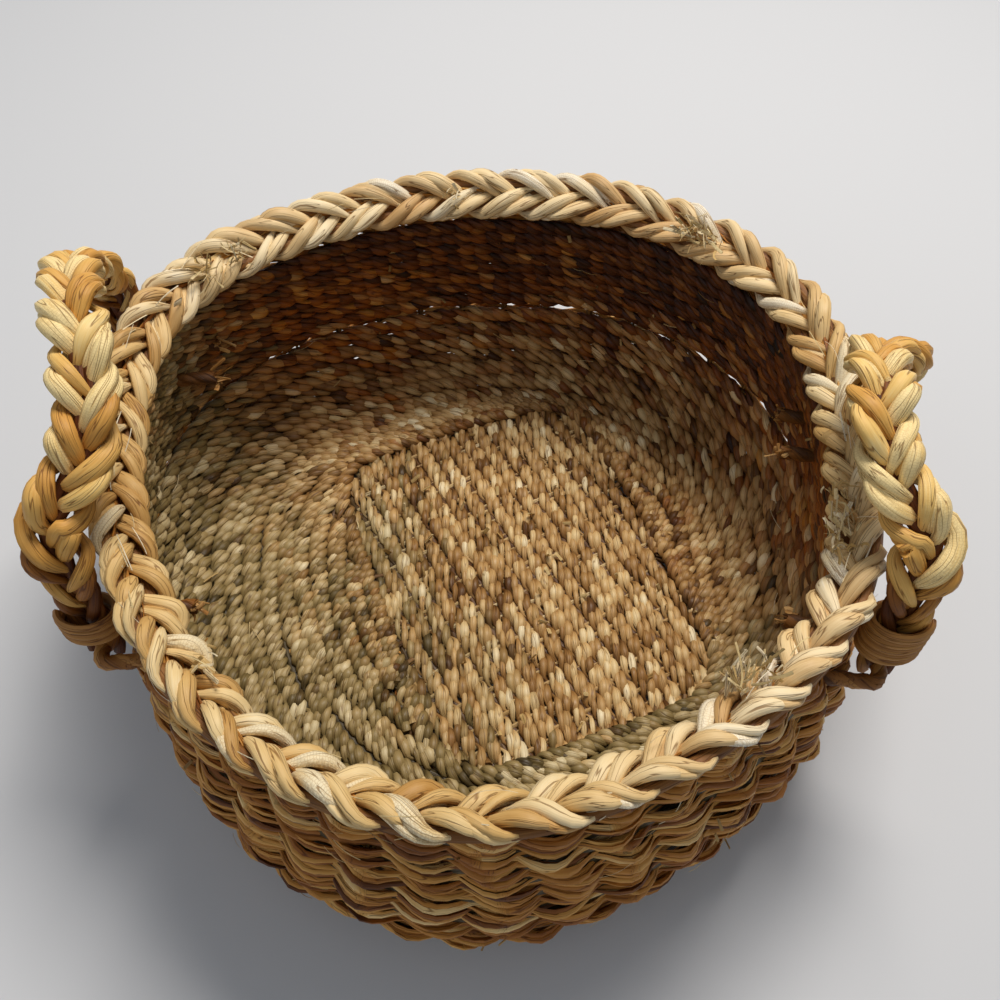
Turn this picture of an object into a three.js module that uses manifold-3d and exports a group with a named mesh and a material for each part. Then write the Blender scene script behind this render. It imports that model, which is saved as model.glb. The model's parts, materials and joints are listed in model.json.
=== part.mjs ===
// A low belly basket of twisted seagrass. A flat mat of parallel twined rows is the floor. Upright
// stakes start in the edge of the mat, turn up, and carry a lower and an upper band of twined wall
// that meet at the belly line, where the weft is left out and the wall can give. The stake ends
// finish inside a thick plaited rim. Two plaited handles stand over the rim and swing on rope
// anchors that pass through the upper wall. Lengths are millimetres, +Z is up, the floor is z = 0.

import * as THREE from 'three';
import { mergeVertices } from 'three/addons/utils/BufferGeometryUtils.js';
import Module from 'manifold-3d';

// Driving dimensions: the rim and the overall shape
const rimHeight = 22;
const rimWidth = 18;
const rimRadius = 141;
const rimCentreHeight = 120;
const wallThickness = 9;
const bellyRadius = 152;
const bellyHeight = 45;
const bellyGap = 2;
const shoulderInset = 1;
const shoulderRadius = rimRadius - shoulderInset;
const footRadius = 122;

// Driving dimensions: the floor mat
const matLength = 180;
const matWidth = 132;
const matCentreX = 18;
const matCentreY = 15;
const matTurn = THREE.MathUtils.degToRad(110.6);
const matThickness = wallThickness;

// Driving dimensions: the stakes
const stakeDiameter = 4;
const stakeInMat = 12;
const stakeInRim = 7;

// Driving dimensions: the handles, their anchors and their bindings. Rise and lean are those of the
// crest, from the hinge line, and its turn is how much further out its back half stands than its
// front half, as a share of its length. The feet stand in front of stakes counted round from +X.
const handleWidth = 26;
const handleThickness = 18;
const handleLegRise = 30;
const leftRise = 97;
const leftLean = 11;
const leftTurn = 0.24;
const rightRise = 84;
const rightLean = 19;
const rightTurn = 0;
const handleSizes = [
  { name: 'left', frontStake: 25, backStake: 18, rise: leftRise, lean: leftLean, turn: leftTurn, turns: 3 },
  { name: 'right', frontStake: 40, backStake: 1, rise: rightRise, lean: rightLean, turn: rightTurn, turns: 5 },
];
const footWidth = 16;
const footThickness = 11.5;
const hingeBelowRim = 40;
const anchorDiameter = 7;
const anchorTail = 12;
const bindingDiameter = 3.2;
const bindingPitch = 3.8;
const bindingStart = 9;

// How much the arch over the legs is drawn in from a half ellipse, which is 1
const archPower = 1.3;

// Clearances
const seatGap = 0.3;
const slideGap = 0.5;
const hingeGap = 0.8;
const overrun = 1;
const weldDistance = 1e-4;

// Counts
const stakeCount = 44;
const rimSteps = stakeCount;
const windingSteps = 14;
const archSteps = 18;
const stakeSides = 4;
const tubeSides = 6;
const anchorSides = 8;

// How far the plan of the basket departs from a circle, every 30 degrees from +X
const planShares = [0.965, 1.045, 1.05, 1.01, 1.01, 1.035, 0.935, 0.91, 0.965, 1.015, 0.98, 0.99];

// The wall's middle line from the mat to the rim: radius as a share of the belly radius above the
// foot, and height as a share of the height under the rim
const wallRadiusShares = [0.935, 0.99, 1, 0.99, 0.955];
const wallHeightShares = [0.145, 0.31, 0.42, 0.6, 0.8];

const wasm = await Module();
wasm.setup();

// Plan and profile

function planShare(angle) {
  const count = planShares.length;
  const turn = 2 * Math.PI;
  const place = (((angle % turn) + turn) % turn) / turn * count;
  const index = Math.floor(place);
  const t = place - index;
  const [a, b, c, d] = [-1, 0, 1, 2].map((step) => planShares[(index + step + count) % count]);
  const slopeB = (c - a) / 2;
  const slopeC = (d - b) / 2;
  return (2 * t ** 3 - 3 * t ** 2 + 1) * b + (t ** 3 - 2 * t ** 2 + t) * slopeB
    + (3 * t ** 2 - 2 * t ** 3) * c + (t ** 3 - t ** 2) * slopeC;
}

function planPoint(angle, radius, height) {
  const reach = radius * planShare(angle);
  return new THREE.Vector3(reach * Math.cos(angle), reach * Math.sin(angle), height);
}

// A rounded rectangle, by the direction from its own centre; grow moves its edge outwards
function matPoint(angle, grow, height) {
  const corner = 6;
  const along = Math.abs(Math.cos(angle - matTurn)) / (matLength / 2 + grow);
  const across = Math.abs(Math.sin(angle - matTurn)) / (matWidth / 2 + grow);
  const reach = (along ** corner + across ** corner) ** (-1 / corner);
  return new THREE.Vector3(
    matCentreX + reach * Math.cos(angle),
    matCentreY + reach * Math.sin(angle),
    height,
  );
}

const wallTop = rimCentreHeight - rimHeight / 2 - seatGap;
const floorMiddle = matThickness / 2;

// Middle line of the wall at one angle, as a smooth curve from the mat's edge to the rim
function wallCurve(angle) {
  const points = [matPoint(angle, seatGap, floorMiddle)];
  points.push(planPoint(angle, footRadius, floorMiddle));
  wallRadiusShares.forEach((radiusShare, i) => {
    points.push(planPoint(angle, bellyRadius * radiusShare, wallTop * wallHeightShares[i]));
  });
  points.push(planPoint(angle, shoulderRadius, wallTop));
  return new THREE.CatmullRomCurve3(points, false, 'centripetal');
}

// The share of a curve's length at which it reaches a height
function shareAtHeight(curve, height) {
  let low = 0;
  let high = 1;
  for (let i = 0; i < 40; i += 1) {
    const middle = (low + high) / 2;
    if (curve.getPointAt(middle).z < height) low = middle;
    else high = middle;
  }
  return low;
}

// Mesh makers

// Joins rings of points into one closed body: a ring of sections, or a run with flat ends
function loft(sections, closed) {
  const size = sections[0].length;
  const points = sections.flat();
  const faces = [];
  const runs = closed ? sections.length : sections.length - 1;
  for (let s = 0; s < runs; s += 1) {
    const here = s * size;
    const next = ((s + 1) % sections.length) * size;
    for (let i = 0; i < size; i += 1) {
      const j = (i + 1) % size;
      faces.push(here + i, here + j, next + j, here + i, next + j, next + i);
    }
  }
  if (!closed) {
    [0, sections.length - 1].forEach((s) => {
      const middle = sections[s].reduce((sum, p) => sum.add(p), new THREE.Vector3());
      points.push(middle.divideScalar(size));
      for (let i = 0; i < size; i += 1) {
        const pair = [s * size + i, s * size + (i + 1) % size];
        if (s === 0) pair.reverse();
        faces.push(points.length - 1, ...pair);
      }
    });
  }
  const geometry = new THREE.BufferGeometry().setFromPoints(points);
  geometry.setIndex(faces);
  return outward(geometry);
}

// Turns a closed mesh the right way out, by the sign of its volume
function outward(geometry) {
  const place = geometry.getAttribute('position');
  const index = geometry.getIndex();
  const [a, b, c] = [new THREE.Vector3(), new THREE.Vector3(), new THREE.Vector3()];
  let volume = 0;
  for (let i = 0; i < index.count; i += 3) {
    a.fromBufferAttribute(place, index.getX(i));
    b.fromBufferAttribute(place, index.getX(i + 1));
    c.fromBufferAttribute(place, index.getX(i + 2));
    volume += a.dot(b.cross(c));
  }
  if (volume < 0) geometry.setIndex([...index.array].reverse());
  return geometry;
}

// A tube along points, its section turned as little as possible from one step to the next
function tube(points, radius, sides) {
  const sections = [];
  let side = null;
  points.forEach((point, i) => {
    const before = points[Math.max(i - 1, 0)];
    const after = points[Math.min(i + 1, points.length - 1)];
    const along = after.clone().sub(before).normalize();
    if (!side) {
      side = new THREE.Vector3(0, 0, 1);
      if (Math.abs(along.z) > Math.SQRT1_2) side = new THREE.Vector3(along.y, -along.x, 0).add(side);
    }
    side = side.clone().addScaledVector(along, -side.dot(along)).normalize();
    const other = along.clone().cross(side);
    sections.push(Array.from({ length: sides }, (_, k) => {
      const angle = 2 * Math.PI * k / sides;
      return point.clone()
        .addScaledVector(side, radius * Math.cos(angle))
        .addScaledVector(other, radius * Math.sin(angle));
    }));
  });
  return loft(sections, false);
}

// Solids for cutting and joining

function solid(geometry) {
  const plain = geometry.clone();
  plain.deleteAttribute('normal');
  plain.deleteAttribute('uv');
  const merged = mergeVertices(plain, weldDistance);
  return new wasm.Manifold(new wasm.Mesh({
    numProp: 3,
    vertProperties: new Float32Array(merged.getAttribute('position').array),
    triVerts: new Uint32Array(merged.getIndex().array),
  }));
}

function cut(geometry, cutters) {
  const left = cutters.reduce((body, cutter) => body.subtract(cutter), solid(geometry));
  const mesh = left.getMesh();
  const result = new THREE.BufferGeometry();
  const places = new Float32Array(mesh.vertProperties);
  result.setAttribute('position', new THREE.BufferAttribute(places, mesh.numProp));
  result.setIndex([...mesh.triVerts]);
  return result;
}

// Materials

const seagrass = (color) => new THREE.MeshStandardMaterial({ color, roughness: 0.75, metalness: 0 });
const matGrass = seagrass(0xb39564);
const wallGrass = seagrass(0xa87840);
const stakeGrass = seagrass(0x8f7a4a);
const rimGrass = seagrass(0xd8b77c);
const handleGrass = seagrass(0xc98f45);
const bindingGrass = seagrass(0xb3803f);

const basket = new THREE.Group();

function add(name, geometry, material) {
  geometry.computeVertexNormals();
  const mesh = new THREE.Mesh(geometry, material);
  mesh.name = name;
  basket.add(mesh);
}

// Stakes: each starts inside the mat's edge, follows the middle of the wall and ends in the rim

const stakeAngles = Array.from({ length: stakeCount }, (_, k) => 2 * Math.PI * (k + 0.5) / stakeCount);
const rimBottom = rimCentreHeight - rimHeight / 2;
const stakeStepShares = [0, 0.24, 0.38, 0.54, 0.76, 1];

// The run of one stake; extra lengthens both ends, as its channel needs
function stakeRun(angle, extra) {
  const curve = wallCurve(angle);
  const run = [matPoint(angle, -stakeInMat - extra, floorMiddle)];
  stakeStepShares.forEach((share) => run.push(curve.getPointAt(share)));
  const top = run[run.length - 1];
  run.push(new THREE.Vector3(top.x, top.y, rimBottom + stakeInRim + extra));
  return run;
}

stakeAngles.forEach((angle, k) => {
  const name = `stake_${String(k + 1).padStart(2, '0')}`;
  add(name, tube(stakeRun(angle, 0), stakeDiameter / 2, stakeSides), stakeGrass);
});

const channelRadius = stakeDiameter / 2 + seatGap;
const channels = stakeAngles.map((angle) => solid(tube(stakeRun(angle, seatGap), channelRadius, stakeSides)));

// Handles: where each foot hangs, worked out from the rim beside it

const hingeHeight = rimCentreHeight - hingeBelowRim;
const rimTopRise = hingeBelowRim + rimHeight / 2;
const leanStart = rimTopRise + handleThickness / 2;
const gripWidth = footWidth + 2 * (bindingDiameter + seatGap);
const gripThickness = footThickness + 2 * (bindingDiameter + seatGap);

// How far out a foot hangs at a place across the handle, for its leg and its binding to clear the
// rim and the wall beside them
function footOut(middleAngle, across, crest) {
  const climbed = (rimTopRise - handleLegRise) / (crest - handleLegRise);
  const drawnIn = Math.sqrt(1 - climbed ** 2) ** archPower;
  const fits = [
    { width: footWidth, thickness: footThickness, height: rimCentreHeight, place: across },
    { width: footWidth, thickness: handleThickness, height: rimCentreHeight, place: across * drawnIn },
    { width: gripWidth, thickness: gripThickness, height: rimCentreHeight, place: across },
    { width: gripWidth, thickness: gripThickness, height: hingeHeight + bindingStart, place: across },
    { width: footWidth, thickness: footThickness, height: hingeHeight, place: across },
  ];
  let reach = 0;
  const samples = 120;
  for (let i = 0; i < samples; i += 1) {
    const turn = Math.PI * (i / samples - 0.5);
    fits.forEach(({ width, thickness, height, place }) => {
      const edge = outerReach(middleAngle + turn, height);
      const share = 1 - ((edge * Math.sin(turn) - place) / (thickness / 2)) ** 2;
      if (share > 0) reach = Math.max(reach, edge * Math.cos(turn) + width / 2 * Math.sqrt(share));
    });
  }
  return reach + hingeGap;
}

// Reach of the outside of the rim or of the wall from the basket's middle
function outerReach(angle, height) {
  if (height > wallTop) return rimRadius * planShare(angle) + rimWidth / 2;
  const curve = wallCurve(angle);
  const point = curve.getPointAt(shareAtHeight(curve, height));
  return Math.hypot(point.x, point.y) + wallThickness / 2;
}

// Frame of one handle: its feet, its hinge line and the direction outwards. Each foot hangs in
// front of the stake that its anchor goes round.
function handleFrame({ frontStake, backStake, rise }) {
  const angles = [frontStake, backStake].map((stake) => stakeAngles[stake]);
  const turn = Math.atan2(
    Math.sin(angles[0]) + Math.sin(angles[1]),
    Math.cos(angles[0]) + Math.cos(angles[1]),
  );
  const outwards = new THREE.Vector3(Math.cos(turn), Math.sin(turn), 0);
  const sideways = new THREE.Vector3(-outwards.y, outwards.x, 0);
  const feet = angles.map((angle) => {
    const curve = wallCurve(angle);
    const across = curve.getPointAt(shareAtHeight(curve, hingeHeight)).dot(sideways);
    const foot = sideways.clone().multiplyScalar(across);
    foot.addScaledVector(outwards, footOut(turn, across, rise));
    foot.z = hingeHeight;
    return foot;
  });
  const along = feet[1].clone().sub(feet[0]).normalize();
  const out = along.clone().cross(new THREE.Vector3(0, 0, 1));
  if (out.dot(outwards) < 0) out.negate();
  return {
    feet,
    along,
    out,
    centre: feet[0].clone().add(feet[1]).divideScalar(2),
    halfSpan: feet[0].distanceTo(feet[1]) / 2,
  };
}

// How much of its lean the plait has at a rise: none until it is clear over the rim, all at the crest
function leanShare(rise, crest) {
  const climbed = THREE.MathUtils.clamp((rise - leanStart) / (crest - leanStart), 0, 1);
  return Math.sin(Math.PI / 2 * climbed);
}

// The foot's end is a half round about the hinge line: depths of its sections and width of its tip
const roundShares = [1, 0.85, 0.5, 0];
const tipShare = 0.2;

// Middle line of the plait: up one leg, over the crest and down the other. The legs stand plumb
// beside the rim, and the crest leans in over it and is turned.
function handleLine(frame, { rise: crest, lean, turn }) {
  const line = [];
  const legs = 3;
  const place = (u, rise) => frame.centre.clone()
    .addScaledVector(frame.along, u)
    .addScaledVector(frame.out, (turn * u - lean) * leanShare(rise, crest))
    .add(new THREE.Vector3(0, 0, rise));
  const legRises = roundShares.map((share) => -share * footWidth / 2);
  for (let i = 1; i < legs; i += 1) legRises.push(handleLegRise * i / legs);
  legRises.forEach((legRise) => line.push(place(-frame.halfSpan, legRise)));
  for (let i = 0; i <= archSteps; i += 1) {
    const t = Math.PI * (1 - i / archSteps);
    const share = Math.sign(Math.cos(t)) * Math.abs(Math.cos(t)) ** archPower;
    line.push(place(frame.halfSpan * share, handleLegRise + (crest - handleLegRise) * Math.sin(t)));
  }
  legRises.reverse().forEach((legRise) => line.push(place(frame.halfSpan, legRise)));
  return line;
}

function handleSection(point, along, out, width, thickness) {
  const sides = 10;
  const over = along.clone().cross(out).normalize();
  const across = over.clone().cross(along).normalize();
  return Array.from({ length: sides }, (_, k) => {
    const angle = 2 * Math.PI * (k + 0.5) / sides;
    return point.clone()
      .addScaledVector(across, width / 2 * Math.cos(angle))
      .addScaledVector(over, thickness / 2 * Math.sin(angle));
  });
}

// The plait is drawn in at both feet, as far up as the binding grips it and the rim is beside it
function handleBody(frame, sizes) {
  const gripEnd = bindingStart + bindingPitch * sizes.turns + bindingDiameter;
  const swellStart = Math.max(gripEnd, rimTopRise - handleThickness / 2);
  const line = handleLine(frame, sizes);
  const sections = line.map((point, i) => {
    const before = line[Math.max(i - 1, 0)];
    const after = line[Math.min(i + 1, line.length - 1)];
    const along = after.clone().sub(before).normalize();
    const rise = point.z - hingeHeight;
    const end = Math.sqrt(Math.max(1 - (Math.min(rise, 0) / (footWidth / 2)) ** 2, tipShare ** 2));
    const swell = THREE.MathUtils.smoothstep(rise, swellStart, swellStart + handleThickness);
    const width = THREE.MathUtils.lerp(footWidth * end, handleWidth, swell);
    const thickness = THREE.MathUtils.lerp(footThickness, handleThickness, swell);
    return handleSection(point, along, frame.out, width, thickness);
  });
  return loft(sections, false);
}

// Anchor: a rope that comes out through the wall, carries the foot and goes back in
const anchorSide = footThickness / 2 + 2 * slideGap + anchorDiameter / 2;
const anchorInwards = gripWidth / 2 + rimWidth + anchorTail;

function anchorLine(frame, foot, extra) {
  const corner = anchorDiameter / 2;
  const line = [];
  const place = (u, n) => foot.clone().addScaledVector(frame.along, u).addScaledVector(frame.out, n);
  [-1, 1].forEach((side) => {
    const inner = place(side * anchorSide, -anchorInwards - extra);
    const bend = [0, 1, 2, 3].map((step) => {
      const t = Math.PI / 2 * step / 3;
      return place(
        side * (anchorSide - corner * (1 - Math.cos(t))),
        -corner * (1 - Math.sin(t)),
      );
    });
    const half = [inner, ...bend];
    line.push(...(side < 0 ? half : half.reverse()));
  });
  return line;
}

// Binding: one cord wound round the foot of the plait, with both ends let in straight
function bindingLine(frame, foot, turns) {
  const reachOut = (footWidth + bindingDiameter) / 2 + seatGap;
  const reachAlong = (footThickness + bindingDiameter) / 2 + seatGap;
  const place = (angle, rise) => foot.clone()
    .addScaledVector(frame.out, reachOut * Math.cos(angle))
    .addScaledVector(frame.along, reachAlong * Math.sin(angle))
    .add(new THREE.Vector3(0, 0, rise));
  const line = Array.from({ length: windingSteps * turns + 1 }, (_, i) => {
    const turned = i / windingSteps;
    return place(2 * Math.PI * turned, bindingStart + bindingPitch * turned);
  });
  const end = line[line.length - 1];
  line.unshift(line[0].clone().addScaledVector(frame.along, -bindingDiameter));
  line.push(end.clone().addScaledVector(frame.along, bindingDiameter));
  return line;
}

const wallHoles = [];

handleSizes.forEach((sizes) => {
  const { name, turns } = sizes;
  const frame = handleFrame(sizes);
  const places = [frame.centre, frame.along].map((place) => place.toArray().map((n) => n.toFixed(4)));
  console.log(`${name} hinge line through ${places[0]}, along ${places[1]}`);
  const bores = frame.feet.map((foot) => {
    const reach = frame.along.clone().multiplyScalar(footThickness);
    const ends = [foot.clone().sub(reach), foot.clone().add(reach)];
    return solid(tube(ends, anchorDiameter / 2 + slideGap, 2 * tubeSides));
  });
  add(`handle_${name}`, cut(handleBody(frame, sizes), bores), handleGrass);
  ['front', 'back'].forEach((place, i) => {
    const foot = frame.feet[i];
    const line = anchorLine(frame, foot, 0);
    add(`handle_${name}_${place}_anchor`, tube(line, anchorDiameter / 2, anchorSides), bindingGrass);
    const hole = tube(anchorLine(frame, foot, overrun), anchorDiameter / 2 + seatGap, anchorSides);
    wallHoles.push(solid(hole));
    const wound = bindingLine(frame, foot, turns);
    add(`handle_${name}_${place}_binding`, tube(wound, bindingDiameter / 2, tubeSides), bindingGrass);
    console.log(`${name} ${place} winding, least gap to itself: ${windingGap(wound).toFixed(2)} mm`);
  });
});

// Least clear distance between points of a winding that are more than half a turn apart
function windingGap(line) {
  const apart = windingSteps / 2 + 1;
  let least = Infinity;
  for (let i = 0; i < line.length; i += 1) {
    for (let j = i + apart; j < line.length; j += 1) {
      least = Math.min(least, line[i].distanceTo(line[j]) - bindingDiameter);
    }
  }
  return least;
}

// Wall bands: a section of the wall at each stake, joined right round

function wallSection(angle, fromShare, toShare, steps, flatTop) {
  const curve = wallCurve(angle);
  const outwards = new THREE.Vector3(Math.cos(angle), Math.sin(angle), 0);
  const sides = [[], []];
  for (let i = 0; i <= steps; i += 1) {
    const share = THREE.MathUtils.lerp(fromShare, toShare, i / steps);
    const point = curve.getPointAt(share);
    const along = curve.getTangentAt(share);
    const rise = along.z;
    const run = along.dot(outwards);
    const level = (flatTop && i === steps) || (fromShare === 0 && i === 0);
    const normal = new THREE.Vector3();
    if (level && i === 0) normal.set(0, 0, -1);
    else if (level) normal.copy(outwards);
    else normal.copy(outwards).multiplyScalar(rise).add(new THREE.Vector3(0, 0, -run)).normalize();
    sides[0].push(point.clone().addScaledVector(normal, wallThickness / 2));
    sides[1].push(point.clone().addScaledVector(normal, -wallThickness / 2));
  }
  const section = [...sides[0], ...sides[1].reverse()];
  section.forEach((point) => { point.z = Math.max(point.z, 0); });
  return section;
}

function wallBand(fromHeight, toHeight, steps) {
  const sections = stakeAngles.map((angle) => {
    const curve = wallCurve(angle);
    const fromShare = fromHeight > 0 ? shareAtHeight(curve, fromHeight) : 0;
    const toShare = toHeight < wallTop ? shareAtHeight(curve, toHeight) : 1;
    return wallSection(angle, fromShare, toShare, steps, toShare === 1);
  });
  return loft(sections, true);
}

add('lower_wall', cut(wallBand(0, bellyHeight - bellyGap / 2, 5), channels), wallGrass);
const upperBand = wallBand(bellyHeight + bellyGap / 2, wallTop, 3);
add('upper_wall', cut(upperBand, [...channels, ...wallHoles]), wallGrass);

// Floor mat: flat, with a socket in its edge for each stake

const matRing = (height) => stakeAngles.map((angle) => matPoint(angle, 0, height));
add('base_mat', cut(loft([matRing(0), matRing(matThickness)], false), channels), matGrass);

// Rim: the thick plait that closes the top edge, flat underneath where it sits on the wall

const rimSides = 8;
const rimSections = Array.from({ length: rimSteps }, (_, s) => {
  const angle = 2 * Math.PI * s / rimSteps;
  const centre = planPoint(angle, rimRadius, rimCentreHeight);
  const outwards = new THREE.Vector3(Math.cos(angle), Math.sin(angle), 0);
  return Array.from({ length: rimSides }, (_, k) => {
    const turn = 2 * Math.PI * (k + 0.5) / rimSides;
    return centre.clone()
      .addScaledVector(outwards, rimWidth / 2 * Math.cos(turn))
      .add(new THREE.Vector3(0, 0, rimHeight / 2 * Math.sin(turn)));
  });
});
add('rim_braid', cut(loft(rimSections, true), channels), rimGrass);

export default basket;
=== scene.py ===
"""Looks of a low belly basket: seagrass leaf, twined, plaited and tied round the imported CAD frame."""

import json
import math

import bpy
import numpy as np
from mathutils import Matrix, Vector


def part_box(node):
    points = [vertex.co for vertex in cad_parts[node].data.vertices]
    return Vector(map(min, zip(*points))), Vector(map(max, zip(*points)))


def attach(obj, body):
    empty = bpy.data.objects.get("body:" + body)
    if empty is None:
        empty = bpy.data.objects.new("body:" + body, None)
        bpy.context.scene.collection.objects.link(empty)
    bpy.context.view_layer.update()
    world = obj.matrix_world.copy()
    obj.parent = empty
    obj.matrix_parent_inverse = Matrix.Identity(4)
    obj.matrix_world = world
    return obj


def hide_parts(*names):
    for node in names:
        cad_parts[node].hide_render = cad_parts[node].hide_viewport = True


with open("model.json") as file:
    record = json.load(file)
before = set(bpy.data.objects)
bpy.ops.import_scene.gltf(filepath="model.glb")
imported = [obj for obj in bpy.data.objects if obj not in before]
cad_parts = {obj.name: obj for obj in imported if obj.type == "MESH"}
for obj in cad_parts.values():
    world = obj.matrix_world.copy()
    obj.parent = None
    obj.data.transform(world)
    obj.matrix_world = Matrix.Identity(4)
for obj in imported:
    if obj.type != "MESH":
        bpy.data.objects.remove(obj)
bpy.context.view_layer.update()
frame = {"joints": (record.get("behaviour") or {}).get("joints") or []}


# Floor mat
# A flat mat of parallel twined rows over cross ribs, a turned rectangle with round corners.
# Each row is three cords of twisted seagrass leaf that take turns on top, so what shows is
# short plump grains, all slanting one way.

mm = 0.001
mat_length = 180 * mm
mat_width = 132 * mm
mat_centre = np.array([18, 15, 4.5]) * mm
mat_turn = math.radians(110.6)
mat_corner = 6
mat_row_turn = math.radians(120)
mat_row_pitch = 7.8 * mm
mat_row_slip = 0.8 * mm
mat_twist = 19.4 * mm
mat_cord_reach = 1.3 * mm
mat_cord_rise = 2.1 * mm
mat_groove_depth = 2.0 * mm
mat_rib_pitch = 9.7 * mm
mat_rib_depth = 0.9 * mm
mat_lines = range(-12, 13)
mat_least_points = 60
mat_line_points = 40
points_per_twist = 12


def linear(colour):
    """Linear RGBA of an sRGB hex colour."""
    channels = [int(colour[i:i + 2], 16) / 255 for i in (1, 3, 5)]
    return [c / 12.92 if c <= 0.04045 else ((c + 0.055) / 1.055) ** 2.4 for c in channels] + [1.0]


def add_node(tree, kind, settings=None, inputs=None):
    """Adds a node with its settings; an input takes a value or another node's output."""
    node = tree.nodes.new(kind)
    for name, value in (settings or {}).items():
        setattr(node, name, value)
    for name, value in (inputs or {}).items():
        if isinstance(value, bpy.types.NodeSocket):
            tree.links.new(value, node.inputs[name])
        else:
            node.inputs[name].default_value = value
    return node


def set_ramp(node, stops):
    """Gives a colour ramp its stops, each a place and a hex colour."""
    elements = node.color_ramp.elements
    while len(elements) < len(stops):
        elements.new(0.5)
    for element, (place, colour) in zip(elements, stops):
        element.position = place
        element.color = linear(colour)


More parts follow.
